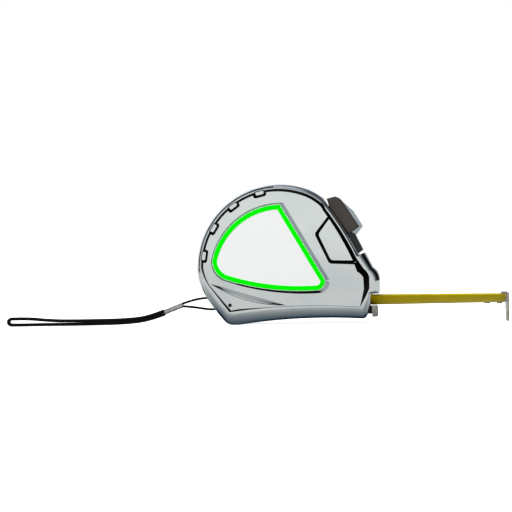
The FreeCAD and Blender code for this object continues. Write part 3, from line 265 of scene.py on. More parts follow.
def crimped_sleeve(name):
    build = bmesh.new()
    run = SLEEVE_FRONT - SLEEVE_REAR
    up = run.normalized().cross(ACROSS)
    rings = []
    for step in range(SLEEVE_STEPS + 1):
        share = step / SLEEVE_STEPS
        pinch = sum(math.exp(-((share - spot) / CRIMP_SPREAD) ** 2) for spot in CRIMPS)
        mouth = math.exp(-(min(share, 1 - share) / MOUTH_SPREAD) ** 2)
        wide = SLEEVE_WIDTH * (1 + CRIMP_WIDENS * pinch - MOUTH_NARROWS * mouth)
        high = SLEEVE_HEIGHT * (1 - CRIMP_FLATTENS * pinch - MOUTH_FLATTENS * mouth)
        centre = SLEEVE_REAR + run * share
        outline = soft_bar_outline(wide, high, per_corner=4, power=3.0)
        rings.append([build.verts.new(centre + ACROSS * y + up * z) for y, z in outline])
    join_rings(build, rings)
    bmesh.ops.recalc_face_normals(build, faces=build.faces)
    return finish_build(name, build)


sleeve = crimped_sleeve("crimped_sleeve")
print("sleeve faces", len(sleeve.data.polygons))

# %% [markdown]
# Materials are small networks of nodes. One helper adds a node with its settings and its
# links, and one turns the hex colours that people write into the linear numbers that
# light needs. Every pattern reads Object coordinates, which are metres here, or the UV
# map in millimetres, so each scale below is the size of the real mark.

# %% Colours


def linear(hex_colour):
    """An sRGB hex colour such as 9AA7AF as linear red, green, blue and alpha."""
    parts = [int(hex_colour[i:i + 2], 16) / 255 for i in (0, 2, 4)]
    return tuple(p / 12.92 if p <= 0.04045 else ((p + 0.055) / 1.055) ** 2.4
                 for p in parts) + (1.0,)


def grey(value):
    return (value, value, value, 1.0)


print("middle grey is", round(linear("808080")[0], 3), "of full light")

# %% Nodes and materials
NOISE, RAMP, SPAN = "ShaderNodeTexNoise", "ShaderNodeValToRGB", "ShaderNodeMapRange"
MATHS, MAPPING = "ShaderNodeMath", "ShaderNodeMapping"
BUMP, BEVEL = "ShaderNodeBump", "ShaderNodeBevel"
EDGE_SAMPLES = 6


def set_inputs(tree, node, inputs):
    """Give each input a number or a colour, or link it to a node's first output or a socket."""
    for key, value in inputs.items():
        if isinstance(value, bpy.types.Node):
            value = value.outputs[0]
        if isinstance(value, bpy.types.NodeSocket):
            tree.links.new(value, node.inputs[key])
        else:
            node.inputs[key].default_value = value


def add_node(tree, kind, inputs=None, stops=(), **settings):
    """A node with its settings and links; stops are a colour ramp's (position, colour)."""
    node = tree.nodes.new(kind)
    for key, value in settings.items():
        setattr(node, key, value)
    set_inputs(tree, node, inputs or {})
    if stops:
        elements = node.color_ramp.elements
        while len(elements) < len(stops):
            elements.new(0.5)
        for element, (position, colour) in zip(elements, stops):
            element.position = position
            element.color = colour
    return node


def new_material(name, **shader_settings):
    """A material, its tree, its Principled shader and the Object coordinates to read."""
    material = bpy.data.materials.new(name)
    material.use_nodes = True
    tree = material.node_tree
    shader = tree.nodes["Principled BSDF"]
    set_inputs(tree, shader, {key.replace("_", " "): value
                              for key, value in shader_settings.items()})
    where = add_node(tree, "ShaderNodeTexCoord").outputs["Object"]
    return material, tree, shader, where


def scale_of(size_mm):
    """The scale that makes a texture's blotches about size_mm across."""
    return 1000.0 / size_mm


print("material helpers ready")

# %% [markdown]
# Chrome plating on a moulded case is not a perfect mirror. The plastic under it has a
# faint orange-peel ripple, handling leaves soft smudges a few millimetres across, and
# pockets and keys leave hair-fine scratches. Each of these only touches roughness or
# the normal, because the colour of chrome hardly changes.

# %% Chrome


def make_chrome():
    material, tree, shader, where = new_material("bright chrome plating", Metallic=1.0)
    smudge = add_node(tree, NOISE, {"Vector": where, "Scale": scale_of(14.0), "Detail": 4.0})
    hairs = add_node(tree, MAPPING, {"Vector": where, "Scale": (0.25, 1.0, 6.0)})
    scratch = add_node(tree, NOISE, {"Vector": hairs, "Scale": scale_of(1.2), "Detail": 6.0,
                                     "Roughness": 0.7})
    tone = add_node(tree, RAMP, {"Fac": smudge},
                    [(0.3, linear("E4E8EA")), (0.7, linear("EEF0F0"))])
    smudged = add_node(tree, SPAN, {"Value": smudge, "To Min": 0.02, "To Max": 0.07})
    scratched = add_node(tree, SPAN, {"Value": scratch, "To Min": 0.0, "To Max": 0.03})
    dull = add_node(tree, MATHS, {0: smudged, 1: scratched}, operation="ADD")
    rounded = add_node(tree, BEVEL, {"Radius": 0.15 * MM}, samples=EDGE_SAMPLES)
    peel = add_node(tree, NOISE, {"Vector": where, "Scale": scale_of(5.0), "Detail": 1.0})
    ripple = add_node(tree, BUMP, {"Height": peel, "Distance": 0.004 * MM, "Strength": 0.35,
                                   "Normal": rounded})
    fine = add_node(tree, BUMP, {"Height": scratch, "Distance": 0.0006 * MM, "Strength": 0.3,
                                 "Normal": ripple})
    set_inputs(tree, shader, {"Base Color": tone, "Roughness": dull, "Normal": fine})
    return material


chrome = make_chrome()
print(chrome.name, "nodes", len(chrome.node_tree.nodes))

# %% [markdown]
# Most other finishes on this tool share one recipe: their colour and their gloss drift
# together in clouds, over a grain that is much finer. So one function makes them all, and
# each finish is a row of real sizes.
#
# Steps and grooves come first. Walls that face each other mirror only one another, so on
# the real case every step reads as a black line. Here that black is painted: the steps get a
# dark colour of painted shade and painted reflection, and the slopes round the label a satin
# plating.

# %% Cloudy finishes, and the plating in the grooves


def cloudy_finish(name, tones, gloss, cloud, grain=None, edge_mm=0.0, **shader_settings):
    """A finish whose colour and roughness drift together, over a fine grain.

    tones are (position, hex colour) and gloss the least and most roughness. cloud is a
    size in mm, a detail and a harshness; grain is a size and a depth in mm and a strength.
    """
    material, tree, shader, where = new_material(name, **shader_settings)
    size_mm, detail, harshness = cloud
    drift = add_node(tree, NOISE, {"Vector": where, "Scale": scale_of(size_mm),
                                   "Detail": detail, "Roughness": harshness})
    tone = add_node(tree, RAMP, {"Fac": drift},
                    [(position, linear(colour)) for position, colour in tones])
    dull = add_node(tree, SPAN, {"Value": drift, "To Min": gloss[0], "To Max": gloss[1]})
    set_inputs(tree, shader, {"Base Color": tone, "Roughness": dull})
    if grain:
        size_mm, depth_mm, strength = grain
        fine = add_node(tree, NOISE, {"Vector": where, "Scale": scale_of(size_mm),
                                      "Detail": 2.0})
        relief = add_node(tree, BUMP, {"Height": fine, "Distance": depth_mm * MM,
                                       "Strength": strength})
        set_inputs(tree, shader, {"Normal": relief})
        if edge_mm:
            rounded = add_node(tree, BEVEL, {"Radius": edge_mm * MM}, samples=EDGE_SAMPLES)
            set_inputs(tree, relief, {"Normal": rounded})
    return material


# Painted shade: a dark metal colour standing in for the shade and dark reflections in the steps.
painted_shade_plating = cloudy_finish(
    "painted shade on the steps and grooves", tones=[(0.3, "191715"), (0.7, "26241F")],
    gloss=(0.16, 0.3), cloud=(2.5, 4.0, 0.5), grain=(0.3, 0.002, 0.4), Metallic=1.0)
recess_plating = cloudy_finish(
    "satin plating on the label's slopes", tones=[(0.3, "B4BEC6"), (0.7, "C2CBD1")],
    gloss=(0.32, 0.44), cloud=(3.0, 4.0, 0.5), grain=(0.3, 0.002, 0.4), edge_mm=0.12,
    Metallic=1.0)
print(painted_shade_plating.name, "and", recess_plating.name)

# %% [markdown]
# Steel parts come in five finishes here. The hook and the mouth's lip are nickel plated
# over rolled sheet, so the rolling lines show through as long fine streaks, and the clip
# is a paler satin. Screws and rivets are zinc plated, cooler and more mottled. The sleeve
# is plain nickel with tool marks, and the spring and the post are bare oiled steel.

# %% Steels


def make_steel(name, light, dark, gloss, grain_axis, grain_mm, tarnish_mm):
    """Steel with a grain stretched along an axis, under a broader drift of tarnish."""
    material, tree, shader, where = new_material(name, Metallic=1.0)
    rolled = add_node(tree, MAPPING, {"Vector": where, "Scale": grain_axis})
    grain = add_node(tree, NOISE, {"Vector": rolled, "Scale": scale_of(grain_mm),
                                   "Detail": 5.0, "Roughness": 0.65})
    tarnish = add_node(tree, NOISE, {"Vector": where, "Scale": scale_of(tarnish_mm),
                                     "Detail": 3.0})
    tone = add_node(tree, RAMP, {"Fac": tarnish},
                    [(0.32, linear(dark)), (0.62, linear(light))])
    grained = add_node(tree, SPAN, {"Value": grain, "To Min": gloss[0], "To Max": gloss[1]})
    tarnished = add_node(tree, SPAN, {"Value": tarnish, "To Min": -0.04, "To Max": 0.04})
    dull = add_node(tree, MATHS, {0: grained, 1: tarnished}, operation="ADD")
    rounded = add_node(tree, BEVEL, {"Radius": 0.12 * MM}, samples=EDGE_SAMPLES)
    relief = add_node(tree, BUMP, {"Height": grain, "Distance": 0.002 * MM, "Strength": 0.4,
                                   "Normal": rounded})
    set_inputs(tree, shader, {"Base Color": tone, "Roughness": dull, "Normal": relief})
    return material


hook_steel = make_steel("nickel plated rolled steel", "BDB9B0", "948F86", gloss=(0.16, 0.34),
                        grain_axis=(1.0, 12.0, 1.0), grain_mm=2.5, tarnish_mm=3.0)
clip_steel = make_steel("satin nickel spring steel", "D2D4D5", "C6C9CB", gloss=(0.2, 0.36),
                        grain_axis=(12.0, 12.0, 0.6), grain_mm=1.5, tarnish_mm=5.0)
zinc_steel = make_steel("zinc plated steel", "C3C8CC", "8F969C", gloss=(0.22, 0.4),
                        grain_axis=(1.0, 1.0, 1.0), grain_mm=0.5, tarnish_mm=1.2)
sleeve_steel = make_steel("crimped nickel steel", "E2DFDA", "BDB8B0", gloss=(0.22, 0.34),
                          grain_axis=(6.0, 1.0, 6.0), grain_mm=0.8, tarnish_mm=1.6)
bare_steel = make_steel("oiled spring steel", "8C8F93", "6A6D72", gloss=(0.22, 0.4),
                        grain_axis=(1.0, 8.0, 1.0), grain_mm=0.9, tarnish_mm=4.0)
print("steels made")

# %% [markdown]
# The lock button is moulded in a dark satin plastic with a spark-eroded grain of about a
# tenth of a millimetre, and thumbs polish its broad areas a little. Rubber is blacker,
# duller and coarser. The reel is plain nylon, slightly see-through and waxy.

# %% Plastics and rubber


def make_plastic(name, main, worn, gloss, grain_mm, depth_mm, edge_mm, **shader_settings):
    """A moulded plastic: wear drifts over it in clouds of 6 mm."""
    return cloudy_finish(name, tones=[(0.35, main), (0.75, worn)], gloss=gloss,
                         cloud=(6.0, 4.0, 0.5), grain=(grain_mm, depth_mm, 0.5),
                         edge_mm=edge_mm, **shader_settings)


lock_plastic = make_plastic("dark satin moulded plastic", "3A342F", "443D37",
                            gloss=(0.36, 0.5), grain_mm=0.14, depth_mm=0.012, edge_mm=0.3)
bumper_rubber = make_plastic("soft black rubber", "141312", "1E1C1A", gloss=(0.6, 0.8),
                             grain_mm=0.3, depth_mm=0.03, edge_mm=0.2)
reel_nylon = make_plastic("natural nylon", "D9D4C4", "E2DED0", gloss=(0.4, 0.55),
                          grain_mm=0.4, depth_mm=0.01, edge_mm=0.2,
                          Subsurface_Weight=0.1, Subsurface_Scale=0.002)
liner_plastic = make_plastic("polished black track plastic", "0B0B0C", "121213",
                             gloss=(0.16, 0.28), grain_mm=0.4, depth_mm=0.004, edge_mm=0.2)
print("plastics made")

# %% [markdown]
# The tape itself is thin steel under yellow lacquer and a clear nylon coat. The lacquer
# is slightly uneven along the strip, the coat has a soft shine, and fine scuffs run the
# way the tape slides. The scale is printed in black ink that is worn in flecks.

# %% Tape lacquer and ink


def make_tape_paint():
    material, tree, shader, where = new_material(
        "yellow lacquered tape", Coat_Weight=0.02, Coat_Roughness=0.25, Specular_IOR_Level=0.06)
    sliding = add_node(tree, MAPPING, {"Vector": where, "Scale": (0.05, 1.0, 1.0)})
    streak = add_node(tree, NOISE, {"Vector": sliding, "Scale": scale_of(0.5), "Detail": 4.0})
    cloud = add_node(tree, NOISE, {"Vector": where, "Scale": scale_of(9.0), "Detail": 3.0})
    mixed = add_node(tree, MATHS, {0: streak, 1: cloud}, operation="MULTIPLY")
    tone = add_node(tree, RAMP, {"Fac": mixed},
                    [(0.1, linear("B09B00")), (0.4, linear("C2AD00"))])
    dull = add_node(tree, SPAN, {"Value": streak, "To Min": 0.3, "To Max": 0.46})
    relief = add_node(tree, BUMP, {"Height": streak, "Distance": 0.003 * MM, "Strength": 0.4})
    set_inputs(tree, shader, {"Base Color": tone, "Roughness": dull, "Normal": relief})
    return material


tape_paint = make_tape_paint()
scale_ink = cloudy_finish("black scale ink", tones=[(0.3, "2A2708"), (0.42, "0B0B0B")],
                          gloss=(0.4, 0.6), cloud=(0.25, 4.0, 0.7))
print(tape_paint.name, scale_ink.name)

# %% [markdown]
# The label is matt coated paper: almost white, with fibres a few tenths of a millimetre
# long that show as the faintest unevenness. Its border is a bright green print with a
# semi-gloss varnish.

# %% Label paper and print


def make_paper():
    material, tree, shader, where = new_material("coated label paper")
    laid = add_node(tree, MAPPING, {"Vector": where, "Scale": (1.0, 1.0, 3.0)})
    fibre = add_node(tree, NOISE, {"Vector": laid, "Scale": scale_of(0.5), "Detail": 5.0,
                                   "Roughness": 0.6})
    cloud = add_node(tree, NOISE, {"Vector": where, "Scale": scale_of(8.0), "Detail": 2.0})
    mixed = add_node(tree, MATHS, {0: fibre, 1: cloud}, operation="ADD")
    halved = add_node(tree, SPAN, {"Value": mixed, "To Min": 0.0, "To Max": 0.5})
    tone = add_node(tree, RAMP, {"Fac": halved},
                    [(0.3, linear("F3F3F3")), (0.7, linear("F8F8F8"))])
    dull = add_node(tree, SPAN, {"Value": fibre, "To Min": 0.5, "To Max": 0.7})
    relief = add_node(tree, BUMP, {"Height": fibre, "Distance": 0.01 * MM, "Strength": 0.3})
    set_inputs(tree, shader, {"Base Color": tone, "Roughness": dull, "Normal": relief})
    return material


paper = make_paper()
border_print = cloudy_finish("green border print", tones=[(0.3, "00F800"), (0.6, "00FF00")],
                             gloss=(0.42, 0.55), cloud=(0.35, 3.0, 0.5),
                             Specular_IOR_Level=0.02)
print(paper.name, border_print.name)

# %% [markdown]
# Woven nylon gets its look from its threads. The strap's UV map is in millimetres, so two
# crossed wave patterns make a twill whose ribs are 0.45 mm apart, and the same trick with
# steeper ribs makes the cord's braid. The threads catch a thin, pale sheen.

# %% Nylon weave
WAVE_SPACING = 0.314            # between a wave texture's bands at a scale of 1


def make_weave(name, rib_mm, slant, depth_mm):
    material, tree, shader, where = new_material(
        name, Sheen_Weight=0.06, Sheen_Roughness=0.4, Specular_IOR_Level=0.12)
    threads = add_node(tree, "ShaderNodeUVMap", uv_map="weave")
    ribs = []
    for turn in (slant, -slant):
        turned = add_node(tree, MAPPING, {"Vector": threads,
                                          "Rotation": (0, 0, math.radians(turn))})
        ribs.append(add_node(tree, "ShaderNodeTexWave", {
            "Vector": turned, "Scale": WAVE_SPACING / rib_mm, "Distortion": 0.6, "Detail": 1.0,
            "Detail Scale": 3.0}).outputs["Fac"])
    crossed = add_node(tree, MATHS, {0: ribs[0], 1: ribs[1]}, operation="MULTIPLY")
    fuzz = add_node(tree, NOISE, {"Vector": where, "Scale": scale_of(0.12), "Detail": 4.0})
    tone = add_node(tree, RAMP, {"Fac": crossed},
                    [(0.0, linear("050403")), (0.9, linear("1D1815"))])
    dull = add_node(tree, SPAN, {"Value": fuzz, "To Min": 0.55, "To Max": 0.85})
    ribbed = add_node(tree, BUMP, {"Height": crossed, "Distance": depth_mm * MM,
                                   "Strength": 0.9})
    fuzzy = add_node(tree, BUMP, {"Height": fuzz, "Distance": 0.02 * MM, "Strength": 0.4,
                                  "Normal": ribbed})
    set_inputs(tree, shader, {"Base Color": tone, "Roughness": dull, "Normal": fuzzy})
    return material


strap_weave = make_weave("black woven nylon", rib_mm=0.45, slant=38, depth_mm=0.12)
cord_braid = make_weave("black braided nylon", rib_mm=0.4, slant=28, depth_mm=0.1)
print(strap_weave.name, cord_braid.name)

# %% [markdown]
# Now the pieces that keep their drawn shape get their finishes. Assigning to the mesh's
# material slots changes nothing in its shape.

# %% Finish the drawn pieces
FINISHES = {
    "case_screws": zinc_steel, "clip_screw": zinc_steel, "hub_post": bare_steel,
    "reel_drum": reel_nylon, "reel_cover": reel_nylon, "power_spring": bare_steel,
    "tape_coil": tape_paint, "tape_feed": tape_paint, "tape_blade": tape_paint,
    "end_hook": hook_steel, "hook_rivets": zinc_steel, "lock_button": lock_plastic,
    "button_cap": recess_plating, "lock_slider": liner_plastic, "brake_pad": bumper_rubber,
    "track_liner": liner_plastic, "mouth_lip": hook_steel, "hook_bumper": bumper_rubber,
    # The strap pin gets the painted shade too, so that it reads as a dark hole.
    "label": paper, "label_border": border_print, "strap_pin": painted_shade_plating,
    "belt_clip": clip_steel, "right_shell": chrome, "left_shell": chrome,
    "strap_ferrule": sleeve_steel, "strap_cord": cord_braid, "wrist_strap": strap_weave,
}


def give(node_object, material):
    node_object.data.materials.clear()
    node_object.data.materials.append(material)


for node_name, material in FINISHES.items():
    give(frame["nodes"][node_name], material)
print("finished", len(FINISHES), "nodes")

# %% [markdown]
# A drawing program hands over flat triangles, and on a mirror finish every one of them
# would show. So the chrome shells, the hook, the clip, the lip, the blade and the button
# are stood in for by copies: the copy's doubles are merged, gentle angles are smoothed,
# and real edges stay sharp. Weighted normals keep the broad flat faces flat.
#
# The shells need more than that, because not all of their faces get the same finish: the
# steps get painted shade and the label's slopes a satin plating. A face is told apart by
# three things: where its centre is, how deep that lies below the flat side, and how far the
# face tilts from square on to it. The next cells are small tests of these.

# %% Faces of the sunk field round the label
CROWN_CENTRE, RECESS_REACH = (18.8 * MM, 24.0 * MM), 29.0 * MM
RECESS_REAR, RECESS_FRONT = 0.5 * MM, 33.5 * MM
RECESS_LOW, CREASE_TOP = 12.6 * MM, 17.2 * MM
HEEL_SIDE = -1.0 * MM
CREASE_TILT = math.radians(62)
SLOPE_TILT, SLOPE_DEPTHS = math.radians(22), (0.05 * MM, 0.75 * MM)
MOST_TILT = math.radians(89)    # beyond this a wall is the outside of the case


def in_recess(centre, tilt, side_y):
    """True for the sloping walls of the sunk field, which only the label's side has."""
    above_crease = centre.z > CREASE_TOP
    return (side_y < 0 and math.dist((centre.x, centre.z), CROWN_CENTRE) < RECESS_REACH
            and centre.x < RECESS_FRONT and (tilt < CREASE_TILT or above_crease)
            and centre.z > RECESS_LOW and (centre.x > HEEL_SIDE or above_crease))


def is_recess_slope(centre, depth, tilt, side_y):
    return (SLOPE_TILT < tilt < MOST_TILT and SLOPE_DEPTHS[0] < depth < SLOPE_DEPTHS[1]
            and in_recess(centre, tilt, side_y))


print("sunk field: within", round(RECESS_REACH / MM, 1), "mm of the crown's centre")

# %% Faces of the steps, notches and grooves
STEP_DEPTH, NOTCH_DEPTH = 1.3 * MM, 1.85 * MM
NOTCH_REACH, NOTCH_LOWEST = 17.0 * MM, 22.0 * MM
STEP_TILT, NOSE_STEP_TILT = math.radians(31), math.radians(20)
NOSE_FROM = 47.5 * MM
LEDGE_LEAN = 1.3                # how much more a wall looks up than along
PANE = (33.6 * MM, 48.0 * MM, 23.0 * MM, 45.0 * MM)
PANE_DEPTHS = (0.2 * MM, 0.9 * MM)


def is_pane_floor(centre, depth):
    """True at the bottom of the channel round the finger pane."""
    return (PANE[0] < centre.x < PANE[1] and PANE[2] < centre.z < PANE[3]
            and PANE_DEPTHS[0] < depth < PANE_DEPTHS[1])


def is_step(centre, normal, depth, tilt, side_y):
    """True for the walls of the steps, notches and grooves on the flat side of a shell."""
    notched = centre.z > NOTCH_LOWEST and abs(centre.x) < NOTCH_REACH
    if depth > (NOTCH_DEPTH if notched else STEP_DEPTH):
        return False
    if is_pane_floor(centre, depth):
        return True
    if tilt > MOST_TILT or tilt < (NOSE_STEP_TILT if centre.x > NOSE_FROM else STEP_TILT):
        return False
    if in_recess(centre, tilt, side_y):
        return normal.z > abs(normal.x) * LEDGE_LEAN and centre.x > RECESS_REAR
    return True


print("steps: down to", round(STEP_DEPTH / MM, 2), "mm, notches to",
      round(NOTCH_DEPTH / MM, 2), "mm")

# %% Which plating or painted shade a face of a shell gets
# DARK is the painted shade of the steps, grooves and front slope.
BRIGHT, DARK, SATIN = 0, 1, 2   # places in the shell's list of materials
# The slope between the lock's track and the nose gets the painted shade too: a painted dark
# reflection, as dark as the track itself.
FRONT_FROM, FRONT_SPAN = 49.0 * MM, (17.4 * MM, 30.0 * MM)
FRONT_LEAN, FRONT_TILT = 0.3, math.radians(40)


def is_front_slope(centre, normal, tilt):
    """True for the slope below the lock button."""
    return (centre.x > FRONT_FROM and FRONT_SPAN[0] < centre.z < FRONT_SPAN[1]
            and normal.x > FRONT_LEAN and tilt > FRONT_TILT)


def plating_of(face, side_y):
    """Bright chrome, painted shade on the steps and the front slope, or the satin slopes of the
    sunk field.
    """
    side = math.copysign(1.0, side_y)
    centre, normal = face.calc_center_median(), face.normal
    depth = (side_y - centre.y) * side
    tilt = math.acos(max(-1.0, min(1.0, normal.y * side)))
    if is_step(centre, normal, depth, tilt, side_y) or is_front_slope(centre, normal, tilt):
        return DARK
    return SATIN if is_recess_slope(centre, depth, tilt, side_y) else BRIGHT


STEPPED = {"right_shell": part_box("right_shell")[0][1], "left_shell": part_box("left_shell")[1][1]}
print("flat sides at Y:", {name: round(y / MM, 2) for name, y in STEPPED.items()}, "mm")

# %% [markdown]
# The step at the heel is a bevel on the real case, wide enough to show as a dark line all
# round the corner; here that line is the steps' painted shade. The drawn wall is upright
# there, so the flat face's edge is moved over it, most at the corner and fading out along
# the back and the base.

# %% Lean the heel's step
BROAD = 0.9995                  # a normal's share along Y that makes a face square on
ON_SIDE = 1e-6                  # metres from the side that still count as on it
HEEL_CORNER = Vector((-2.5, 5.8)) * MM      # X and Z
HEEL_TOP = Vector((-10.0, 16.2)) * MM
HEEL_BEVEL = 0.75 * MM
HEEL_START = -0.5 * MM
HEEL_BACK, HEEL_BACK_FADE, HEEL_BACK_OFF = 13.5 * MM, 3 * MM, 0.9 * MM
HEEL_BASE, HEEL_BASE_TOP = 15.0 * MM, 7.6 * MM


def faces_square_on(edge):
    return [abs(face.normal.y) > BROAD for face in edge.link_faces]


def widen_heel_step(build, side_y):
    """Lean the step at the heel further in, by moving the flat face's edge over it."""
    boundary = {vertex for edge in build.edges
                if len(edge.link_faces) == 2 and set(faces_square_on(edge)) == {True, False}
                for vertex in edge.verts if abs(vertex.co.y - side_y) < ON_SIDE}
    back = (HEEL_TOP - HEEL_CORNER).normalized()
    inward = Vector((back.y, -back.x))
    moved = 0
    for vertex in boundary:
        spot = Vector((vertex.co.x, vertex.co.z)) - HEEL_CORNER
        up_back, off_back = spot.dot(back), spot.dot(inward)
        if HEEL_START < up_back < HEEL_BACK and abs(off_back) < HEEL_BACK_OFF:
            shift = inward * HEEL_BEVEL * min(1.0, (HEEL_BACK - up_back) / HEEL_BACK_FADE)
        elif HEEL_START < spot.x < HEEL_BASE and vertex.co.z < HEEL_BASE_TOP:
            shift = Vector((0, 1)) * HEEL_BEVEL * (1 - spot.x / HEEL_BASE)
        else:
            continue
        vertex.co.x += shift.x
        vertex.co.z += shift.y
        moved += 1
    return moved


print("heel bevel:", round(HEEL_BEVEL / MM, 2), "mm")

# %% Which edges stay crisp
BODY_OF = {name: body for body, names in frame["record"]["behaviour"]["bodies"].items()
           for name in names}
SAME_PLACE = 1e-7               # metres
LEAST_BEND = math.radians(2.5)  # of an edge that stays crisp beside a square-on face
FACE_WEIGHT = 60


def stays_crisp(edge, smooth_angle):
    """True for the rims, the sharp edges and the edges of the faces that are square on."""
    if len(edge.link_faces) != 2:
        return True
    bend = edge.calc_face_angle(math.pi)
    return bend >= math.radians(smooth_angle) or (
        bend >= LEAST_BEND and any(faces_square_on(edge)))


# %% Copy, merge and smooth


def smooth_copy(node_name, new_name, smooth_angle):
    """A merged, smoothed copy of a drawn node, which it then stands in for."""
    mesh = frame["nodes"][node_name].data.copy()
    mesh.name = new_name
    if "custom_normal" in mesh.attributes:
        mesh.attributes.remove(mesh.attributes["custom_normal"])
    build = bmesh.new()
    build.from_mesh(mesh)
    bmesh.ops.remove_doubles(build, verts=build.verts, dist=SAME_PLACE)
    bmesh.ops.dissolve_degenerate(build, edges=build.edges, dist=SAME_PLACE)
    if node_name in STEPPED:
        print("heel edge points moved:", widen_heel_step(build, STEPPED[node_name]))
    build.normal_update()
    for edge in build.edges:
        edge.smooth = not stays_crisp(edge, smooth_angle)
    for face in build.faces:
        face.smooth = True
        if node_name in STEPPED:
            face.material_index = plating_of(face, STEPPED[node_name])
    build.to_mesh(mesh)
    build.free()
    made = link_mesh(new_name, mesh)
    if node_name in STEPPED:
        # Second material: the painted shade of the steps; third: the satin plating.
        made.data.materials.append(painted_shade_plating)
        made.data.materials.append(recess_plating)
    weigh = made.modifiers.new("weighted normals", "WEIGHTED_NORMAL")
    weigh.keep_sharp = True
    weigh.weight = FACE_WEIGHT
    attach(made, BODY_OF[node_name])
    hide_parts(node_name)
    return made


print("heel bevel on", " and ".join(STEPPED))

# %% Smooth stand-ins
STAND_INS = {                   # each with the angle, in degrees, from which an edge is sharp
    "right_shell": ("right_chrome_shell", 17), "left_shell": ("left_chrome_shell", 17),
    "end_hook": ("blade_hook", 30), "belt_clip": ("spring_clip", 30),
    "lock_button": ("thumb_button", 16), "button_cap": ("button_trim", 20),
    "mouth_lip": ("steel_lip", 30), "tape_blade": ("yellow_blade", 25),
}
for node_name, facts in STAND_INS.items():
    stand_in = smooth_copy(node_name, *facts)
    print(stand_in.name, len(stand_in.data.polygons), "faces")

# %% [markdown]
# The cord, the strap and the sleeve were made at the start. They now get their finishes
# and their body, and the drawn pieces that they stand in for are hidden.

for piece, material, node_name in ((cord, cord_braid, "strap_cord"),
                                   (strap, strap_weave, "wrist_strap"),
                                   (sleeve, sleeve_steel, "strap_ferrule")):
    give(piece, material)
    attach(piece, "case")
    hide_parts(node_name)

# %% [markdown]
# The scale on the blade is 56 small marks that follow two rules: one each millimetre,
# longer at every fifth and tenth, and each bent to the blade's hollow. Geometry Nodes
# suits that well. A line of points gives the places, a thin grid is the mark, its length
# is chosen from the point's index, and the realised marks are then laid on the hollow
# by working out the blade's height under each vertex.

# %% Blade surface
BLADE = {                       # in millimetres; camber is the rise from middle to edge
    "rear": 53.8, "end": 112.8, "low_rear": 7.4, "low_end": 7.75,
    "camber_rear": 4.1, "camber_end": 3.5, "half": 9.5, "thick": 0.2}
SCALE_ZERO = 113.4              # the inner face of the hook's tab
SCALE_MARKS = 56
INK_LIFT = 0.015


def blade_height(x, y):
    """Height of the blade's hollow side at x and y, all in millimetres."""
    share = (x - BLADE["rear"]) / (BLADE["end"] - BLADE["rear"])
    low = BLADE["low_rear"] + share * (BLADE["low_end"] - BLADE["low_rear"])
    camber = BLADE["camber_rear"] + share * (BLADE["camber_end"] - BLADE["camber_rear"])
    radius = (BLADE["half"] ** 2 + camber ** 2) / (2 * camber)
    return low + radius - math.sqrt((radius - BLADE["thick"]) ** 2 - y * y)


print("hollow at the middle:", round(blade_height(80, 0), 3), "mm")

# %% Flat marks in a row
MARK_ROWS = 9                   # points along a mark, so that it can bend
FIFTH_LONGER, TENTH_LONGER = 0.6, 1.0       # shares of a short mark's length


def named_sizes(tree):
    """Give the tree its output and its named inputs, in metres; gives the inputs' sockets."""
    sockets = tree.interface
    sockets.new_socket("Geometry", in_out="OUTPUT", socket_type="NodeSocketGeometry")
    sizes = {"Count": ("NodeSocketInt", SCALE_MARKS), "Pitch": ("NodeSocketFloat", 1.0 * MM),
             "Zero": ("NodeSocketFloat", SCALE_ZERO * MM), "Width": ("NodeSocketFloat", 0.16 * MM),
             "Short": ("NodeSocketFloat", 2.4 * MM), "Edge": ("NodeSocketFloat", 9.1 * MM)}
    for name, (kind, value) in sizes.items():
        sockets.new_socket(name, in_out="INPUT", socket_type=kind).default_value = value
    sockets.new_socket("Ink", in_out="INPUT", socket_type="NodeSocketMaterial")
    return add_node(tree, "NodeGroupInput").outputs


def flat_marks(tree, inside):
    """Marks of the right lengths at the right places, still flat and at Z 0."""
    first = add_node(tree, MATHS, {0: inside["Zero"], 1: inside["Pitch"]}, operation="SUBTRACT")
    back = add_node(tree, MATHS, {0: inside["Pitch"], 1: -1.0}, operation="MULTIPLY")
    line = add_node(tree, "GeometryNodeMeshLine", {
        "Count": inside["Count"],
        "Start Location": add_node(tree, "ShaderNodeCombineXYZ", {"X": first}),
        "Offset": add_node(tree, "ShaderNodeCombineXYZ", {"X": back})})
    mark = add_node(tree, "GeometryNodeMeshGrid", {
        "Size X": inside["Width"], "Size Y": 1.0, "Vertices X": 2, "Vertices Y": MARK_ROWS})
    shifted = add_node(tree, "GeometryNodeTransform", {"Geometry": mark,
                                                       "Translation": (0, 0.5, 0)})
    index = add_node(tree, "GeometryNodeInputIndex")
    number = add_node(tree, MATHS, {0: index, 1: 1.0}, operation="ADD")
    longer = 1.0
    for every, extra in ((5.0, FIFTH_LONGER), (10.0, TENTH_LONGER)):
        left_over = add_node(tree, MATHS, {0: number, 1: every}, operation="MODULO")
        chosen = add_node(tree, MATHS, {0: left_over, 1: 0.5}, operation="LESS_THAN")
        longer = add_node(tree, MATHS, {0: chosen, 1: extra, 2: longer},
                          operation="MULTIPLY_ADD")
    reach = add_node(tree, MATHS, {0: inside["Short"], 1: longer}, operation="MULTIPLY")
    stretch = add_node(tree, "ShaderNodeCombineXYZ", {"X": 1.0, "Y": reach, "Z": 1.0})
    placed = add_node(tree, "GeometryNodeInstanceOnPoints", {
        "Points": line, "Instance": shifted, "Scale": stretch})
    return add_node(tree, "GeometryNodeRealizeInstances", {"Geometry": placed})


print("a tenth mark is", round(1 + FIFTH_LONGER + TENTH_LONGER, 1), "times a short one")

# %% The same height, in nodes


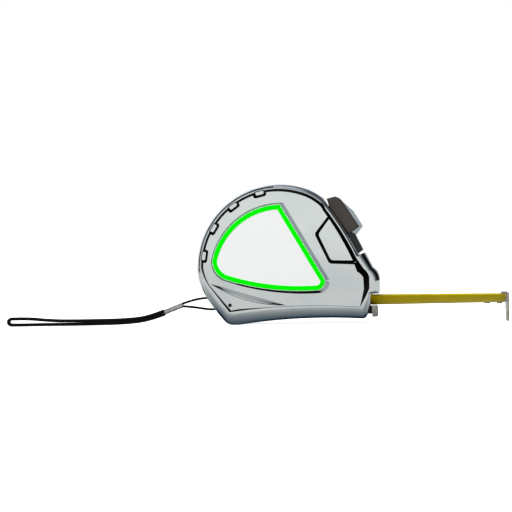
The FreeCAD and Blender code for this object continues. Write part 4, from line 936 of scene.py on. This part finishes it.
def hollow_under(tree, along, across):
    """The node that gives blade_height under a point, here in metres."""
    length = (BLADE["end"] - BLADE["rear"]) * MM
    from_rear = add_node(tree, MATHS, {0: along, 1: BLADE["rear"] * MM}, operation="SUBTRACT")
    share = add_node(tree, MATHS, {0: from_rear, 1: length}, operation="DIVIDE")
    low, camber = (add_node(tree, MATHS, {
        0: share, 1: (BLADE[size + "_end"] - BLADE[size + "_rear"]) * MM,
        2: BLADE[size + "_rear"] * MM}, operation="MULTIPLY_ADD") for size in ("low", "camber"))
    squares = add_node(tree, MATHS, {0: camber, 1: camber, 2: (BLADE["half"] * MM) ** 2},
                       operation="MULTIPLY_ADD")
    twice = add_node(tree, MATHS, {0: camber, 1: 2.0}, operation="MULTIPLY")
    radius = add_node(tree, MATHS, {0: squares, 1: twice}, operation="DIVIDE")
    inner = add_node(tree, MATHS, {0: radius, 1: (BLADE["thick"] + INK_LIFT) * MM},
                     operation="SUBTRACT")
    inner_square, across_square = (add_node(tree, MATHS, {0: side, 1: side},
                                            operation="MULTIPLY") for side in (inner, across))
    difference = add_node(tree, MATHS, {0: inner_square, 1: across_square},
                          operation="SUBTRACT")
    drop = add_node(tree, MATHS, {0: difference}, operation="SQRT")
    top = add_node(tree, MATHS, {0: low, 1: radius}, operation="ADD")
    return add_node(tree, MATHS, {0: top, 1: drop}, operation="SUBTRACT")


print("ink stands", INK_LIFT, "mm off the blade")

# %% Scale marks by Geometry Nodes


def scale_mark_tree():
    """A node tree that lays ruler marks on the blade."""
    tree = bpy.data.node_groups.new("ruler marks", "GeometryNodeTree")
    inside = named_sizes(tree)
    real = flat_marks(tree, inside)
    spot = add_node(tree, "ShaderNodeSeparateXYZ", {
        "Vector": add_node(tree, "GeometryNodeInputPosition")}).outputs
    across = add_node(tree, MATHS, {0: spot["Y"], 1: inside["Edge"]}, operation="SUBTRACT")
    goal = add_node(tree, "ShaderNodeCombineXYZ", {
        "X": spot["X"], "Y": across, "Z": hollow_under(tree, spot["X"], across)})
    laid = add_node(tree, "GeometryNodeSetPosition", {"Geometry": real, "Position": goal})
    inked = add_node(tree, "GeometryNodeSetMaterial", {"Geometry": laid,
                                                       "Material": inside["Ink"]})
    add_node(tree, "NodeGroupOutput", {0: inked})
    return tree


def bake_nodes(name, tree, inputs):
    """Run a node tree on an empty mesh and keep the result as a plain mesh."""
    holder = link_mesh(name + "_holder", bpy.data.meshes.new(name + "_holder"))
    modifier = holder.modifiers.new("build", "NODES")
    modifier.node_group = tree
    for item in tree.interface.items_tree:
        if item.in_out == "INPUT" and item.name in inputs:
            modifier[item.identifier] = inputs[item.name]
    bpy.context.view_layer.update()
    graph = bpy.context.evaluated_depsgraph_get()
    mesh = bpy.data.meshes.new_from_object(holder.evaluated_get(graph), depsgraph=graph)
    mesh.name = name
    bpy.data.objects.remove(holder)
    return link_mesh(name, mesh)


marks = bake_nodes("scale_marks", scale_mark_tree(), {"Ink": scale_ink})
print("marks:", len(marks.data.polygons), "faces")

# %% [markdown]
# Figures stand beside every tenth mark. Blender's own font makes each one as a flat
# outline, which becomes a mesh and is then laid on the hollow point by point.

# %% Scale figures
FIGURE_HEIGHT, SIZE_PER_HEIGHT = 4.2, 1.4   # millimetres, and the font's size for each
FIGURE_BEFORE_MARK, FIGURE_ACROSS = 2.4, 0.6
LAST_CENTIMETRE = 5


def lay_figure(text, centre_x, centre_y, height):
    """One figure as a mesh on the blade's hollow side."""
    curve = bpy.data.curves.new("figure", "FONT")
    curve.body = text
    curve.size = height * SIZE_PER_HEIGHT
    curve.align_x = "CENTER"
    curve.align_y = "CENTER"
    holder = bpy.data.objects.new("figure", curve)
    bpy.context.scene.collection.objects.link(holder)
    bpy.context.view_layer.update()
    mesh = bpy.data.meshes.new_from_object(holder)
    bpy.data.objects.remove(holder)
    for vertex in mesh.vertices:
        x, y = centre_x + vertex.co.x, centre_y + vertex.co.y
        vertex.co = Vector((x, y, blade_height(x, y) + INK_LIFT)) * MM
    return mesh


def scale_figures():
    build = bmesh.new()
    for centimetre in range(1, LAST_CENTIMETRE + 1):
        mark = SCALE_ZERO - 10 * centimetre
        mesh = lay_figure(str(centimetre), mark + FIGURE_BEFORE_MARK, FIGURE_ACROSS,
                          FIGURE_HEIGHT)
        build.from_mesh(mesh)
        bpy.data.meshes.remove(mesh)
    return finish_build("scale_figures", build)


figures = scale_figures()
give(figures, scale_ink)
for printed in (marks, figures):
    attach(printed, "blade")
print("figures:", len(figures.data.polygons), "faces")

# %% [markdown]
# A mirror shows its surroundings, so what matters is where the room is light and where it
# is dark: light behind the camera and behind the tool, and dark at the sides and above,
# which draws every bevel as a dark line. A pale patch straight overhead lights the top,
# and the dark reaches further round on the nose's side. The camera sees plain white.

# %% World glow
WORLD_STOPS = [                 # from straight behind the tool to straight behind the camera
    (0.00, (0.95, 0.97, 1.0, 1.0)), (0.16, (0.75, 0.78, 0.82, 1.0)),
    (0.27, (0.26, 0.30, 0.36, 1.0)), (0.36, (0.085, 0.10, 0.125, 1.0)),
    (0.60, (0.075, 0.08, 0.09, 1.0)), (0.70, (0.14, 0.16, 0.17, 1.0)),
    (0.80, (0.38, 0.42, 0.44, 1.0)), (0.92, (0.69, 0.72, 0.71, 1.0)),
    (1.00, (0.79, 0.82, 0.80, 1.0))]
CEILING = [(0.92, grey(0.0)), (0.985, grey(1.0))]
CEILING_GLOW = (0.62, 0.66, 0.70, 1.0)
DARKER_TOWARDS = (math.cos(math.radians(30)), 0.0, math.sin(math.radians(30)))
DARKER_BY = 0.95
LIGHT_FROM = (math.sin(math.radians(5)), -math.cos(math.radians(5)), 0.0)


def glow_world():
    world = bpy.data.worlds.new("studio glow")
    bpy.context.scene.world = world
    world.use_nodes = True
    tree = world.node_tree
    towards = add_node(tree, "ShaderNodeTexCoord").outputs["Generated"]
    facing, nose_side = (add_node(
        tree, "ShaderNodeVectorMath", {0: towards, 1: direction},
        operation="DOT_PRODUCT").outputs["Value"] for direction in (LIGHT_FROM, DARKER_TOWARDS))
    only_nose = add_node(tree, MATHS, {0: nose_side, 1: 0.0}, operation="MAXIMUM")
    squeeze = add_node(tree, MATHS, {0: only_nose, 1: -DARKER_BY, 2: 1.0},
                       operation="MULTIPLY_ADD")
    leaning = add_node(tree, MATHS, {0: squeeze, 1: facing}, operation="MULTIPLY")
    share = add_node(tree, SPAN, {"Value": leaning, "From Min": -1.0, "From Max": 1.0})
    height = add_node(tree, "ShaderNodeSeparateXYZ", {"Vector": towards}).outputs["Z"]
    overhead = add_node(tree, "ShaderNodeMix", {
        "Factor": add_node(tree, RAMP, {"Fac": height}, CEILING),
        6: add_node(tree, RAMP, {"Fac": share}, WORLD_STOPS), 7: CEILING_GLOW},
        data_type="RGBA").outputs[2]
    glow = tree.nodes["Background"]
    set_inputs(tree, glow, {"Color": overhead, "Strength": 1.0})
    white = add_node(tree, "ShaderNodeBackground", {"Color": grey(1.0), "Strength": 1.0})
    seen = add_node(tree, "ShaderNodeLightPath").outputs["Is Camera Ray"]
    mix = add_node(tree, "ShaderNodeMixShader", {0: seen, 1: glow, 2: white})
    set_inputs(tree, tree.nodes["World Output"], {"Surface": mix})


glow_world()
print("world ready")

# %% [markdown]
# The floor is plain and pale. Chrome near a floor shows more of it than of anything else:
# almost black close under the case, where no light gets in, and lighter further out. So
# for mirrored rays the floor glows with painted shade, darker the nearer it is to the case,
# and for diffuse rays it glows with a steady painted bounce light, which keeps the label and
# the blade's underside bright. The camera sees it plain and pale.

# %% Floor
FLOOR_HALF, FLOOR_TONE, FLOOR_GLOW = 4.0, grey(0.9), 0.86
# Painted shade seen in the chrome: the floor's glow, darkest under the case.
FLOOR_PAINTED_SHADE_STOPS = [                 # from the case outwards
    (0.00, (0.002, 0.006, 0.016, 1)), (0.06, (0.015, 0.028, 0.05, 1)),
    (0.09, (0.07, 0.095, 0.12, 1)), (0.15, (0.15, 0.18, 0.20, 1)),
    (0.26, (0.24, 0.265, 0.275, 1)), (0.56, (0.44, 0.46, 0.465, 1)),
    (1.00, (0.64, 0.66, 0.655, 1))]
FLOOR_FADE = 50 * MM
CASE_HALF, CASE_ENDS = 9 * MM, (-12 * MM, 56 * MM)
BOUNCED_LIGHT = (0.62, 0.62, 0.61, 1.0)


def distance_from_case(tree, where):
    """The node that gives how far a point of the floor lies from the strip under the case."""
    place = add_node(tree, "ShaderNodeSeparateXYZ", {"Vector": where}).outputs
    off_middle = add_node(tree, MATHS, {0: place["Y"]}, operation="ABSOLUTE")
    sideways = add_node(tree, MATHS, {0: off_middle, 1: CASE_HALF}, operation="SUBTRACT")
    ahead = add_node(tree, MATHS, {0: place["X"], 1: CASE_ENDS[1]}, operation="SUBTRACT")
    behind = add_node(tree, MATHS, {0: CASE_ENDS[0], 1: place["X"]}, operation="SUBTRACT")
    lengthways = add_node(tree, MATHS, {0: ahead, 1: behind}, operation="MAXIMUM")
    return add_node(tree, MATHS, {0: sideways, 1: lengthways}, operation="MAXIMUM")


def make_floor():
    mesh = bpy.data.meshes.new("floor")
    reach = FLOOR_HALF
    mesh.from_pydata([(-reach, -reach, 0), (reach, -reach, 0), (reach, reach, 0),
                      (-reach, reach, 0)], [], [(0, 1, 2, 3)])
    floor = link_mesh("floor", mesh)
    material, tree, shader, where = new_material("pale studio floor", Roughness=0.9)
    set_inputs(tree, shader, {"Base Color": FLOOR_TONE, "Emission Color": grey(1.0),
                              "Emission Strength": FLOOR_GLOW})
    share = add_node(tree, SPAN, {"Value": distance_from_case(tree, where), "From Min": 0.0,
                                  "From Max": FLOOR_FADE})
    # Painted shade for mirrored rays: a glow that darkens near the case.
    painted_shade_reflected = add_node(tree, "ShaderNodeEmission", {
        "Color": add_node(tree, RAMP, {"Fac": share}, FLOOR_PAINTED_SHADE_STOPS)})
    # Painted bounce light for diffuse rays.
    bounced = add_node(tree, "ShaderNodeEmission", {"Color": BOUNCED_LIGHT})
    rays = add_node(tree, "ShaderNodeLightPath").outputs
    unseen = add_node(tree, "ShaderNodeMixShader", {
        0: rays["Is Diffuse Ray"], 1: painted_shade_reflected, 2: bounced})
    mix = add_node(tree, "ShaderNodeMixShader", {
        0: rays["Is Camera Ray"], 1: unseen, 2: shader})
    set_inputs(tree, tree.nodes["Material Output"], {"Surface": mix})
    give(floor, material)


make_floor()
print("floor ready")

# %% [markdown]
# Three large round softboxes light the label, the far side and the top. They are left out
# of reflections, because in chrome each of them would be one glaring white disk.

# %% Softboxes
SOFTBOXES = {                   # azimuth and elevation in degrees, and watts
    "key softbox": (-28, 42, 11.0), "fill softbox": (150, 50, 3.0),
    "overhead softbox": (0, 86, 9.0)}
SOFTBOX_DISTANCE, SOFTBOX_ACROSS = 1.2, 1.0


def add_softbox(name, azimuth, elevation, watts):
    lamp = bpy.data.lights.new(name, "AREA")
    lamp.shape = "DISK"
    lamp.size = SOFTBOX_ACROSS
    lamp.energy = watts
    made = bpy.data.objects.new(name, lamp)
    bpy.context.scene.collection.objects.link(made)
    a, e = math.radians(azimuth), math.radians(elevation)
    back = Vector((math.sin(a) * math.cos(e), -math.cos(a) * math.cos(e), math.sin(e)))
    made.location = LOOK_AT + back * SOFTBOX_DISTANCE
    made.rotation_mode = "QUATERNION"
    made.rotation_quaternion = (-back).to_track_quat("-Z", "Y")
    made.visible_glossy = False


for name, place_and_power in SOFTBOXES.items():
    add_softbox(name, *place_and_power)
print("softboxes:", ", ".join(SOFTBOXES))
